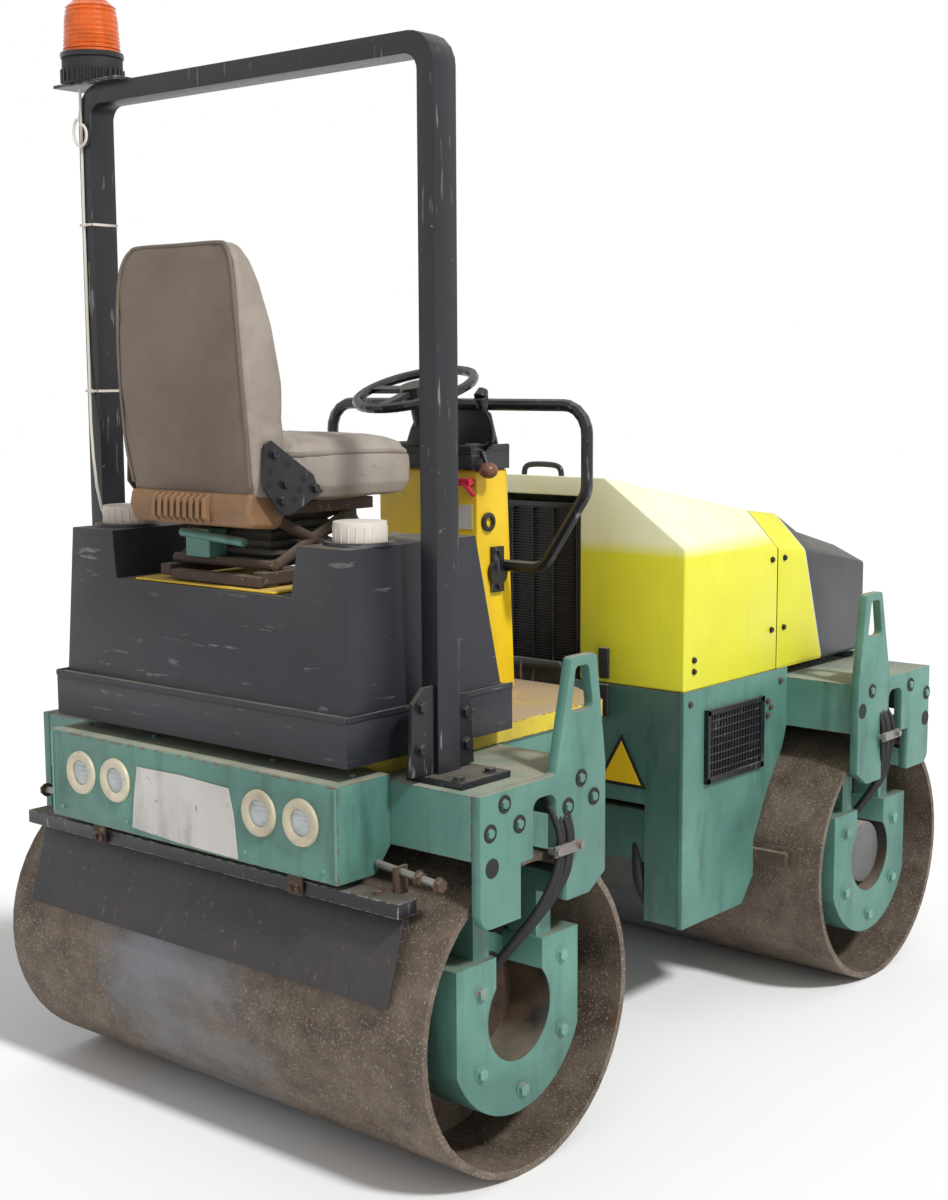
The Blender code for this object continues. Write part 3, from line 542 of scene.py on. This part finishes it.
# ---- soft seat ----
def add_prism(bm, loop, way):
    way = Vector(way)
    first = [bm.verts.new(p) for p in loop]
    second = [bm.verts.new(Vector(p) + way) for p in loop]
    bm.faces.new(first)
    bm.faces.new(second[::-1])
    for i in range(len(loop)):
        j = (i + 1) % len(loop)
        bm.faces.new((first[j], first[i], second[i], second[j]))


def add_loft(bm, rings):
    rows = [[bm.verts.new(p) for p in ring] for ring in rings]
    for low, high in zip(rows, rows[1:]):
        for i in range(len(low)):
            j = (i + 1) % len(low)
            bm.faces.new((low[i], low[j], high[j], high[i]))
    bm.faces.new(rows[0][::-1])
    bm.faces.new(rows[-1])


def row_at(table, where):
    """Row of a table interpolated at its first column."""
    for a, b in zip(table, table[1:]):
        if where <= b[0]:
            t = (where - a[0]) / (b[0] - a[0])
            return [p + (q - p) * t for p, q in zip(a, b)]
    return list(table[-1])


def power(value, exponent):
    return math.copysign(abs(value) ** exponent, value)


def crease(bm, depth, scale):
    """Old vinyl: narrow creases where a noise passes through zero, and a soft unevenness."""
    bm.normal_update()
    moves = []
    for vertex in bm.verts:
        p = vertex.co
        spot = Vector((p.x * scale, p.y * scale, p.z * scale * 0.7))
        sharp = (1 - abs(noise.noise(spot))) ** 14
        soft = noise.noise(spot * 0.6 + Vector((5, 1, 2)))
        moves.append(vertex.normal * (soft * depth * 0.8 - sharp * depth))
    for vertex, move in zip(bm.verts, moves):
        vertex.co += move


BACK_SECTIONS = [       # height, rear x, front x, half width
    (1.462, -1.128, -1.080, 0.186), (1.475, -1.142, -1.060, 0.200), (1.52, -1.153, -1.035, 0.209),
    (1.60, -1.165, -1.022, 0.214), (1.72, -1.176, -1.022, 0.213), (1.84, -1.181, -1.050, 0.208),
    (1.93, -1.180, -1.082, 0.201), (1.98, -1.175, -1.105, 0.188), (2.008, -1.167, -1.118, 0.165),
    (2.020, -1.156, -1.128, 0.135)]


def back_ring(z, count=72):
    _, rear, front, half = row_at(BACK_SECTIONS, z)
    ring = []
    for i in range(count):
        angle = 2 * math.pi * i / count
        c, s = math.cos(angle), math.sin(angle)
        flat_x, flat_y = (2 / 6, 2 / 10) if c < 0 else (2 / 2.8, 2 / 4.5)
        x = (rear + front) / 2 + (front - rear) / 2 * power(c, flat_x)
        y = half * power(s, flat_y)
        if c > 0:
            x -= 0.020 * c * (1 - (y / half) ** 2)
        ring.append(Vector((x, y, z)))
    return ring


def make_seat_back():
    bm = bmesh.new()
    low, high = BACK_SECTIONS[0][0], BACK_SECTIONS[-1][0]
    add_loft(bm, [back_ring(low + (high - low) * k / 56) for k in range(57)])
    crease(bm, 0.0035, 8)
    back = piece("seat_back_pad", bm, "vinyl", "rear_frame", levels=1)
    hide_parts("seat_back")
    heights = (1.50, 1.58, 1.68, 1.78, 1.88, 1.95, 1.985, 2.006)
    right = [back_ring(z)[45] + Vector((-0.001, -0.001, 0)) for z in heights]
    left = [back_ring(z)[27] + Vector((-0.001, 0.001, 0)) for z in heights]
    top = [back_ring(2.014)[k] + Vector((-0.001, 0, 0.001)) for k in (42, 36, 30)]
    edge = [*right, *top, *left[::-1]]
    hose("seat_back_piping", edge, 0.0042, "vinyl_dark", "rear_frame")


def make_seat_cushion():
    layers = [(0.0, 1.462, 0.06), (0.08, 1.462, 0.035), (0.18, 1.470, 0.012), (0.30, 1.495, 0.002),
              (0.45, 1.535, 0.0), (0.55, 1.560, 0.001), (0.58, 1.564, 0.006), (0.62, 1.572, 0.004),
              (0.74, 1.592, 0.016), (0.84, 1.602, 0.045), (0.92, 1.607, 0.085), (1.0, 1.608, 0.14)]
    bm = bmesh.new()
    rings = []
    for k in range(61):
        _, z, inset = row_at(layers, k / 60)
        ring = []
        for i in range(96):
            angle = 2 * math.pi * i / 96
            along = power(math.cos(angle), 2 / 5.0)
            x = -0.8425 + (0.2175 - inset) * along
            y = (0.235 - inset) * power(math.sin(angle), 2 / 5.0)
            ahead = max(0.0, (x + 0.80) / 0.175)
            drop = 0.024 * ahead ** 2.2 * (z - 1.455) / 0.15
            ring.append(Vector((x, y, z - drop)))
        rings.append(ring)
    add_loft(bm, rings)
    crease(bm, 0.0045, 10)
    cushion = piece("seat_cushion_pad", bm, "vinyl_pale", "rear_frame", levels=1)
    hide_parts("seat_cushion")
    seam = rings[34][::3]
    hose("seat_cushion_seam", [*seam, seam[0]], 0.0030, "vinyl_dark", "rear_frame")


def make_seat_base():
    """Under the seat: plates, scissor arms, ribbed boot, rear strip, hinge plates and the saddle's plate."""
    bm = bmesh.new()
    add_box(bm, (-1.06, -0.17, 1.432), (-0.74, 0.17, 1.4585))
    for y in (-0.155, 0.155):
        add_box(bm, (-1.09, y - 0.018, 1.284), (-0.76, y + 0.018, 1.310))
        add_rod(bm, (-1.05, y, 1.315), (-0.80, y, 1.430), 0.012)
        add_rod(bm, (-0.80, y, 1.315), (-1.05, y, 1.430), 0.012)
    for x in (-1.05, -0.80):
        add_rod(bm, (x, -0.165, 1.322), (x, 0.165, 1.322), 0.011)
        add_rod(bm, (x, -0.165, 1.425), (x, 0.165, 1.425), 0.011)
    frame_piece = piece("seat_suspension", bm, "rusty", "rear_frame", 0.002)
    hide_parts("seat_base")
    bm = bmesh.new()
    rings = []
    for k in range(25):
        z, out = 1.312 + 0.118 * k / 24, 0.010 * (k % 4 in (1, 2, 3)) * (1.4 if k % 4 == 2 else 0.8)
        rings.append([Vector((-0.925 + sx * (0.09 + out), sy * (0.115 + out), z))
                      for sx, sy in ((-1, -1), (1, -1), (1, 1), (-1, 1))])
    add_loft(bm, rings)
    piece("seat_boot", bm, "black_rubber", "rear_frame", 0.002)
    bm = bmesh.new()
    add_box(bm, (-1.076, 0.02, 1.330), (-1.020, 0.10, 1.395))
    add_rod(bm, (-1.078, -0.10, 1.372), (-1.078, 0.11, 1.385), 0.010)
    piece("seat_adjuster", bm, "green_paint", "rear_frame", 0.003)
    bm = bmesh.new()
    add_box(bm, (-1.118, -0.23, 1.2712), (-0.78, 0.23, 1.2762))
    piece("saddle_plate", bm, "yellow_paint", "rear_frame", 0.002)
    bm = bmesh.new()
    add_box(bm, (-1.105, -0.17, 1.2790), (-1.075, 0.12, 1.302))
    add_box(bm, (-1.075, -0.17, 1.2765), (-1.045, 0.12, 1.286))
    piece("saddle_rail", bm, "rusty", "rear_frame", 0.003)
    bm = bmesh.new()
    strip = [(-1.150, 1.487), (-1.158, 1.45), (-1.146, 1.412), (-1.06, 1.405), (-1.03, 1.462),
             (-1.03, 1.487)]
    add_prism(bm, [(x, -0.198, z) for x, z in strip], (0, 0.396, 0))
    piece("seat_rear_strip", bm, "strip_brown", "rear_frame", 0.012)
    bm = bmesh.new()
    for k in range(9):
        y = -0.075 + 0.021 * k
        rib = [(-1.150, 1.484), (-1.170, 1.474), (-1.172, 1.430), (-1.152, 1.416)]
        add_prism(bm, [(x, y, z) for x, z in rib], (0, 0.012, 0))
    piece("seat_strip_ribs", bm, "strip_brown", "rear_frame", 0.004)
    hinge = [(-1.132, 1.592), (-1.112, 1.600), (-0.962, 1.505), (-0.955, 1.485), (-1.060, 1.436),
             (-1.085, 1.440), (-1.136, 1.500)]
    for side, finish in ((-1, "black_paint"), (1, "rusty")):
        bm = bmesh.new()
        add_prism(bm, [(x, side * 0.221, z) for x, z in hinge], (0, side * 0.006, 0))
        for x, z in ((-1.105, 1.570), (-1.085, 1.470), (-1.075, 1.505), (-0.985, 1.492)):
            add_bolt(bm, (x, side * 0.227, z), (0, side, 0), 0.010)
        name = "right" if side < 0 else "left"
        piece(f"seat_hinge_{name}", bm, finish, "rear_frame", 0.0015)
        # flat black discs on the hinge plate: painted shade where its holes are
        bm = bmesh.new()
        for x, z in ((-1.112, 1.535), (-1.065, 1.545), (-1.045, 1.470), (-1.020, 1.515), (-1.030, 1.490),
                     (-1.120, 1.505)):
            add_rod(bm, (x, side * 0.2265, z), (x, side * 0.2276, z), 0.008, 16)
        piece(f"seat_hinge_hole_shade_{name}", bm, "deep_black", "rear_frame")


# ---- running gear and frame ----
def make_yoke_trim():
    rings = {"rear": [(0.948, 0.857), (0.899, 0.805), (0.995, 0.804), (0.683, 0.864), (0.730, 0.809),
                      (0.636, 0.814)],
             "front": [(0.670, 0.860), (1.010, 0.807), (0.905, 0.845)]}
    holes = {"rear": [(0.989, 0.729)], "front": [(0.616, 0.811), (1.006, 0.732)]}
    hanger_bolts = [(0.947, 0.436), (0.665, 0.448), (0.665, 0.273), (0.948, 0.257), (0.807, 0.177)]
    clamp_in, clamp_out, clamp_z = 0.014, 0.021, 0.724
    for half, way in (("rear", -1), ("front", 1)):
        body = f"{half}_frame"
        for hand, side in (("right", -1), ("left", 1)):
            face = side * YOKE_FACE
            out = Vector((0, side, 0))
            heads, rings_and_hole_shade, clamp = bmesh.new(), bmesh.new(), bmesh.new()
            for u, z in rings[half]:
                spot = Vector((way * u, face, z))
                add_ring(rings_and_hole_shade, spot, out, 0.0195, 0.0125, 0.0022, 24)
                add_rod(heads, spot - out * 0.001, spot + out * 0.006, 0.0105, 6)
            # each hole is drawn as a flat black disc on the face: painted shade where the hole is
            for u, z in holes[half]:
                spot = Vector((way * u, face, z))
                add_rod(rings_and_hole_shade, spot - out * 0.001, spot + out * 0.0012, 0.021, 28)
            add_box(clamp, (way * 0.705, face + side * clamp_in, clamp_z - 0.012),
                    (way * 0.800, face + side * clamp_out, clamp_z + 0.012))
            for u in (0.712, 0.793):
                spot = Vector((way * u, face, clamp_z))
                add_rod(clamp, spot, spot + out * clamp_in, 0.008)
                add_bolt(clamp, spot + out * clamp_out, out, 0.009)
            piece(f"{half}_yoke_bolts_{hand}", heads, "green_paint", body, 0.001)
            piece(f"{half}_yoke_rings_{hand}", rings_and_hole_shade, "deep_black", body)
            piece(f"{half}_hose_clamp_{hand}", clamp, "bare_steel", body, 0.0012)
            bm = bmesh.new()
            for u, z in hanger_bolts:
                add_bolt(bm, (way * u, side * HANGER_FACE, z), out, 0.0145)
            piece(f"{half}_hanger_bolts_{hand}", bm, "green_steel", body, 0.001)
            for k in range(4):
                shift = 0.016 * (k - 1.5)
                deep = 0.004 * (k % 2)
                route = [(0.740 + shift, 0.640, 0.870), (0.745 + shift, 0.700, 0.820),
                         (0.750 + shift, 0.731 + deep, 0.765), (0.752 + shift, 0.733 + deep, 0.715),
                         (0.760 + shift, 0.728, 0.660), (0.785 + shift * 0.8, 0.700, 0.590),
                         (0.800 + shift * 0.7, 0.650, 0.520), (0.812 + shift * 0.5, 0.595, 0.450),
                         (0.815, 0.565 - deep, 0.400)]
                points = [(way * u, side * y, z) for u, y, z in route]
                hose(f"{half}_hose_{hand}_{k}", points, 0.0072, "black_rubber", body)


def make_lamp_box_trim():
    lamps = {"rear": ("left_outer", "left_inner", "right_inner", "right_outer"), "front": ("left", "right")}
    for half, way in (("rear", -1), ("front", 1)):
        body, face = f"{half}_frame", way * END
        bm, holders = bmesh.new(), bmesh.new()
        for lamp in lamps[half]:
            node = f"{half}_lamp_{lamp}"
            _, y, z = middle(node)
            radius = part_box(node)[1][2] - z
            profile = [(radius + 0.012, face), (radius + 0.010, face + way * 0.006),
                       (radius, face + way * 0.008), (radius - 0.010, face + way * 0.004),
                       (radius - 0.010, face)]
            add_lathe(bm, profile, (0, y, z), 48, "x")
            add_rod(holders, (face, y, z), (face + way * 0.0025, y, z), radius - 0.012, 40, radius - 0.022)
            for turn in (0.8, 2.9, 5.0):
                spot = Vector((face + way * 0.0055, y + math.cos(turn) * (radius + 0.004),
                               z + math.sin(turn) * (radius + 0.004)))
                add_rod(holders, spot, spot + Vector((way * 0.003, 0, 0)), 0.003, 8)
        piece(f"{half}_lamp_rings", bm, "cream_ring", body)
        piece(f"{half}_lamp_lenses", holders, "lamp_glass", body)
        bm = bmesh.new()
        for y in (-0.474, 0.474, 0.0) if half == "front" else (-0.474, 0.474):
            add_box(bm, (face, y - 0.003, 0.70), (face + way * 0.002, y + 0.003, 0.893))
        for y in (-0.44, -0.20, 0.20, 0.44):
            add_bolt(bm, (way * 1.10, y, 0.900), (0, 0, 1), 0.007)
            add_bolt(bm, (face, y, 0.715), (way, 0, 0), 0.005)
        piece(f"{half}_box_joints", bm, "green_steel", body, 0.0008)
    bm = bmesh.new()
    outline = [(0.158, 0.852), (0.172, 0.775), (0.180, 0.706), (0.02, 0.697), (-0.176, 0.694),
               (-0.168, 0.78), (-0.150, 0.848), (0.0, 0.854)]
    add_prism(bm, [(-END - 0.0002, y, z) for y, z in outline], (-0.0022, 0, 0))
    piece("blank_plate", bm, "plate_blank", "rear_frame", 0.0008)


def make_scraper_trim():
    for half, way in (("rear", -1), ("front", 1)):
        body = f"{half}_frame"
        bm, nuts = bmesh.new(), bmesh.new()
        for side in (-1, 1):
            add_rod(bm, (way * 1.075, side * 0.485, 0.716), (way * 1.075, side * 0.662, 0.700), 0.0085)
            add_bolt(nuts, (way * 1.075, side * 0.655, 0.7008), (0, side, -0.09), 0.015)
            add_bolt(nuts, (way * 1.075, side * 0.60, 0.7055), (0, side, -0.09), 0.015)
            ear, bracket = side * 0.55, side * 0.33
            add_box(nuts, (way * 1.055, ear - 0.004, 0.662), (way * 1.095, ear + 0.004, 0.722))
            add_box(nuts, (way * 1.163, bracket - 0.022, 0.640), (way * 1.168, bracket + 0.022, 0.690))
            for step in (-0.011, 0.011):
                add_bolt(nuts, (way * 1.168, bracket + step, 0.652), (way, 0, 0), 0.007)
        for k in range(7):
            add_bolt(nuts, (way * 1.132, -0.54 + 0.18 * k, 0.672), (0, 0, 1), 0.009)
        piece(f"{half}_scraper_rods", bm, "bare_steel", body, 0.001)
        piece(f"{half}_scraper_nuts", nuts, "rusty", body, 0.001)


# ---- roll bar, tank, controls ----
def make_roll_bar_trim():
    for hand, side in (("right", -1), ("left", 1)):
        bm = bmesh.new()
        wing = [(-1.052, 0.905), (-0.978, 0.905), (-0.978, 1.090), (-1.012, 1.090), (-1.046, 1.060)]
        add_prism(bm, [(x, side * 0.552, z) for x, z in wing], (0, side * 0.010, 0))
        front = [(-0.900, 0.905), (-0.848, 0.905), (-0.856, 1.030), (-0.872, 1.062), (-0.900, 1.062)]
        add_prism(bm, [(x, side * 0.552, z) for x, z in front], (0, side * 0.010, 0))
        for x, z in ((-1.018, 1.050), (-1.020, 0.960), (-0.876, 1.020), (-0.874, 0.950)):
            add_bolt(bm, (x, side * 0.562, z), (0, side, 0), 0.013)
        for x in (-0.990, -0.888):
            for y in (0.520, 0.640):
                add_bolt(bm, (x, side * y, 0.900), (0, 0, 1), 0.013)
        piece(f"roll_bar_brackets_{hand}", bm, "black_paint", "rear_frame", 0.0015)
    bm = bmesh.new()
    for z, tilt in ((2.10, 0.004), (1.70, -0.004)):
        low, high = (-0.9795, 0.5238, z - 0.003), (-0.9025, 0.5712, z + 0.003)
        add_box(bm, low, (low[0] + 0.0012, high[1], high[2]))
        add_box(bm, (high[0] - 0.0012, low[1], low[2]), high)
        add_box(bm, low, (high[0], low[1] + 0.0012, high[2]))
        add_box(bm, (low[0], high[1] - 0.0012, low[2]), high)
        add_box(bm, (-0.985, 0.545 + tilt, z - 0.004), (-0.979, 0.551 + tilt, z + 0.004))
    piece("cable_ties", bm, "white_plastic", "rear_frame")
    loop = [Vector((-0.9845, 0.552 + 0.024 * math.sin(a), 2.325 + 0.030 * math.cos(a) - 0.003 * a))
            for a in (2 * math.pi * k / 14 for k in range(1, 15))]
    hose("cable_loop", loop, 0.0035, "white_plastic", "rear_frame")
    bm = bmesh.new()
    for k in range(30):
        angle = 2 * math.pi * k / 30
        out = Vector((math.cos(angle), math.sin(angle), 0))
        centre = Vector((BEACON_X, BEACON_Y, 2.437))
        add_rod(bm, centre + out * 0.0735, centre + out * 0.0735 + Vector((0, 0, 0.030)), 0.0035, 8)
    profile = [(0.070, 2.494), (0.0755, 2.494), (0.0765, 2.500), (0.0755, 2.506), (0.070, 2.506)]
    add_lathe(bm, profile, (BEACON_X, BEACON_Y, 0), 48, "z")
    piece("beacon_grip", bm, "gloss_black", "rear_frame")
    bm = bmesh.new()
    for k in range(11):
        z = 2.515 + 0.0098 * k
        radius = 0.0688 - 0.0009 * k
        profile = [(radius - 0.003, z - 0.0032), (radius + 0.0006, z), (radius - 0.003, z + 0.0032)]
        add_lathe(bm, profile, (BEACON_X, BEACON_Y, 0), 64, "z")
    piece("beacon_ribs", bm, "amber_glass", "rear_frame")


def make_tank_trim():
    bm = bmesh.new()
    for y in (-CAP_Y, CAP_Y):
        for k in range(20):
            angle = 2 * math.pi * k / 20
            spot = Vector((CAP_X + 0.0565 * math.cos(angle), y + 0.0565 * math.sin(angle), TANK_TOP + 0.003))
            add_rod(bm, spot, spot + Vector((0, 0, 0.038)), 0.0028, 8)
    piece("tank_cap_grips", bm, "white_plastic", "rear_frame")
    bm = bmesh.new()
    for y in (-CAP_Y, CAP_Y):
        collar = [(0.060, 0.0008), (0.078, 0.0008), (0.076, 0.008), (0.062, 0.008)]
        add_lathe(bm, collar, (CAP_X, y, TANK_TOP), 40, "z")
    piece("tank_collars", bm, "black_plastic", "rear_frame")
    bm = bmesh.new()
    add_box(bm, (-1.1640, -0.482, 1.026), (-1.1585, 0.482, 1.040))
    for side in (-1, 1):
        add_box(bm, (-1.160, side * 0.4835 - 0.003, 1.026), (-0.618, side * 0.4835 + 0.003, 1.040))
    piece("tank_seam", bm, "black_plastic", "rear_frame", 0.003)


def make_controls():
    bm = bmesh.new()
    boot = [(0.050, 1.555), (0.056, 1.56), (0.044, 1.60), (0.030, 1.63), (0.026, 1.63), (0.026, 1.555)]
    add_lathe(bm, boot, (-0.355, 0, 0), 32, "z")
    for y in (-0.11, 0.11):
        add_lathe(bm, [(0.0, 1.553), (0.022, 1.553), (0.020, 1.562), (0.0, 1.562)], (-0.31, y, 0), 24, "z")
    piece("column_boot", bm, "black_rubber", "rear_frame")
    bm = bmesh.new()
    add_box(bm, (-0.386, -0.171, 1.545), (-0.236, -0.160, 1.562))
    add_box(bm, (-0.386, 0.160, 1.545), (-0.236, 0.171, 1.562))
    add_box(bm, (-0.388, -0.171, 1.538), (-0.378, 0.171, 1.562))
    piece("dash_lip", bm, "gloss_black", "rear_frame", 0.003)
    bm = bmesh.new()
    for outline in ([(-0.150, 1.352), (-0.045, 1.352), (-0.045, 1.408), (-0.150, 1.414)],
                    [(0.02, 1.24), (0.13, 1.24), (0.13, 1.33), (0.02, 1.33)]):
        add_prism(bm, [(CONSOLE_REAR - SKIN, y, z) for y, z in outline], (-0.0012, 0, 0))
    piece("blank_labels", bm, "plate_blank", "rear_frame")
    bm = bmesh.new()
    add_rod(bm, (-0.361, -0.150, 1.470), (-0.392, -0.150, 1.470), 0.011)
    add_box(bm, (-0.404, -0.176, 1.462), (-0.392, -0.124, 1.482))
    add_rod(bm, (-0.398, -0.153, 1.470), (-0.402, -0.192, 1.440), 0.007, 12)
    piece("key", bm, "red_plastic", "rear_frame", 0.003)
    bm = bmesh.new()
    switch = [(0.014, -0.001), (0.024, -0.001), (0.024, -0.009), (0.014, -0.011)]
    add_lathe(bm, switch, (-0.321, CONSOLE_SIDE, 1.369), 28)
    add_rod(bm, (-0.287, -0.166, 1.24), (-0.287, -0.178, 1.24), 0.034, 28)
    add_box(bm, (-0.310, -0.176, 1.19), (-0.266, -0.166, 1.305))
    for z in (1.205, 1.290):
        add_bolt(bm, (-0.288, -0.176, z), (0, -1, 0), 0.009)
    piece("console_fittings", bm, "black_paint", "rear_frame", 0.002)
    hose("travel_lever", [(-0.330, -0.150, 1.545), (-0.342, -0.196, 1.570), (-0.365, -0.214, 1.615),
                          (-0.388, -0.214, 1.650)], 0.0075, "gloss_black", "rear_frame")
    bm = bmesh.new()
    flattened = Matrix.Translation((-0.352, -0.196, 1.500)) @ Matrix.Diagonal((1, 1, 0.85, 1))
    bmesh.ops.create_uvsphere(bm, u_segments=24, v_segments=16, radius=0.024, matrix=flattened)
    piece("lever_knob", bm, "knob_brown", "rear_frame")
    bm = bmesh.new()
    grip = [(-0.395, -0.214, 1.655), (-0.402, -0.214, 1.680), (-0.392, -0.214, 1.700)]
    add_rod(bm, grip[0], grip[1], 0.013, 20, 0.019)
    add_rod(bm, grip[1], grip[2], 0.019, 20, 0.012)
    add_rod(bm, (-0.346, -0.172, 1.545), (-0.352, -0.196, 1.505), 0.007, 12)
    piece("lever_grip", bm, "gloss_black", "rear_frame", 0.003)


# ---- front half and hood ----
def make_grilles():
    for hand, side in (("right", -1), ("left", 1)):
        y0, y1 = side * (CHASSIS_SIDE + 0.0045), side * (CHASSIS_SIDE + 0.0085)
        bm = bmesh.new()
        for k in range(19):
            x = 0.186 + 0.0143 * k
            add_box(bm, (x - 0.0018, y0, 0.672), (x + 0.0018, y1, 0.836))
        for k in range(7):
            z = 0.686 + 0.0225 * k
            add_box(bm, (0.182, y0, z - 0.0016), (0.448, y1 + side * 0.001, z + 0.0016))
        f0, f1 = side * (CHASSIS_SIDE + SKIN), side * (CHASSIS_SIDE + 0.0125)
        for low, high in (((0.170, 0.655), (0.186, 0.852)), ((0.442, 0.655), (0.458, 0.852)),
                          ((0.170, 0.655), (0.458, 0.670)), ((0.170, 0.838), (0.458, 0.852))):
            add_box(bm, (low[0], f0, low[1]), (high[0], f1, high[1]))
        piece(f"grille_bars_{hand}", bm, "black_paint", "front_frame", 0.001)
        bm = bmesh.new()
        for x, z in ((0.492, 0.832), (0.508, 0.812), (0.492, 0.792), (0.100, 0.880), (0.560, 0.880)):
            add_bolt(bm, (x, side * CHASSIS_SIDE, z), (0, side, 0), 0.008)
        piece(f"chassis_bolts_{hand}", bm, "rusty", "front_frame", 0.0008)


def make_radiator():
    bm = bmesh.new()
    for k in range(58):
        z = 0.925 + 0.0077 * k
        add_box(bm, (0.0765, -0.140, z - 0.0011), (0.0855, 0.140, z + 0.0011))
    for y in (-0.07, 0.0, 0.07):
        add_box(bm, (0.075, y - 0.002, 0.915), (0.0855, y + 0.002, 1.372))
    piece("radiator_fins", bm, "black_paint", "front_frame")
    bm = bmesh.new()
    for y in (-0.157, 0.157):
        add_box(bm, (0.072, y - 0.007, 0.918), (0.084, y + 0.007, 1.385))
    add_box(bm, (0.072, -0.164, 1.376), (0.084, 0.164, 1.390))
    piece("radiator_frame", bm, "gloss_black", "front_frame", 0.002)


def make_hood_trim():
    bm = bmesh.new()
    for side in (-1, 1):
        for x, z in ((0.505, 1.225), (0.505, 1.030), (0.572, 1.225), (0.572, 1.030), (0.115, 0.965),
                     (0.115, 0.995)):
            add_bolt(bm, (x, side * (CHASSIS_SIDE + SKIN), z), (0, side, 0), 0.0075)
    piece("hood_bolts", bm, "deep_black", "hood", 0.0008)
    hose("hood_handle", [(0.120, -0.065, 1.452), (0.120, -0.060, 1.478), (0.120, -0.035, 1.488),
                         (0.120, 0.035, 1.488), (0.120, 0.060, 1.478), (0.120, 0.065, 1.452)],
         0.008, "gloss_black", "hood")
    bm = bmesh.new()
    strap = [(0.0695, 0.925), (0.062, 0.930), (0.058, 0.990), (0.060, 1.010), (0.0695, 1.012)]
    add_prism(bm, [(x, -0.266, z) for x, z in strap], (0, 0.032, 0))
    piece("hood_latch", bm, "black_rubber", "hood", 0.003)
    bm = bmesh.new()
    strap = [(0.0695, 0.822), (0.060, 0.826), (0.056, 0.870), (0.058, 0.912), (0.0695, 0.912)]
    add_prism(bm, [(x, -0.266, z) for x, z in strap], (0, 0.032, 0))
    piece("chassis_latch", bm, "black_rubber", "front_frame", 0.003)
    outer = [(-0.225, 0.642), (-0.385, 0.642), (-0.305, 0.782)]
    inner = [(-0.242, 0.651), (-0.368, 0.651), (-0.305, 0.763)]
    bm = bmesh.new()
    add_prism(bm, [(CHASSIS_REAR - SKIN, y, z) for y, z in outer], (-0.0010, 0, 0))
    piece("sign_border", bm, "deep_black", "front_frame")
    bm = bmesh.new()
    add_prism(bm, [(CHASSIS_REAR - 0.0014, y, z) for y, z in inner], (-0.0008, 0, 0))
    piece("sign_blank", bm, "yellow_paint", "front_frame")
    hose("drain_hose",
         [(0.115, -0.330, 0.560), (0.095, -0.345, 0.470), (0.085, -0.360, 0.380), (0.110, -0.385, 0.300)],
         0.019, "black_rubber", "front_frame")


make_camera()
make_light()
make_floor()
finish_cad()
make_seat_back()
make_seat_cushion()
make_seat_base()
make_yoke_trim()
make_lamp_box_trim()
make_scraper_trim()
make_roll_bar_trim()
make_tank_trim()
make_controls()
make_grilles()
make_radiator()
make_hood_trim()
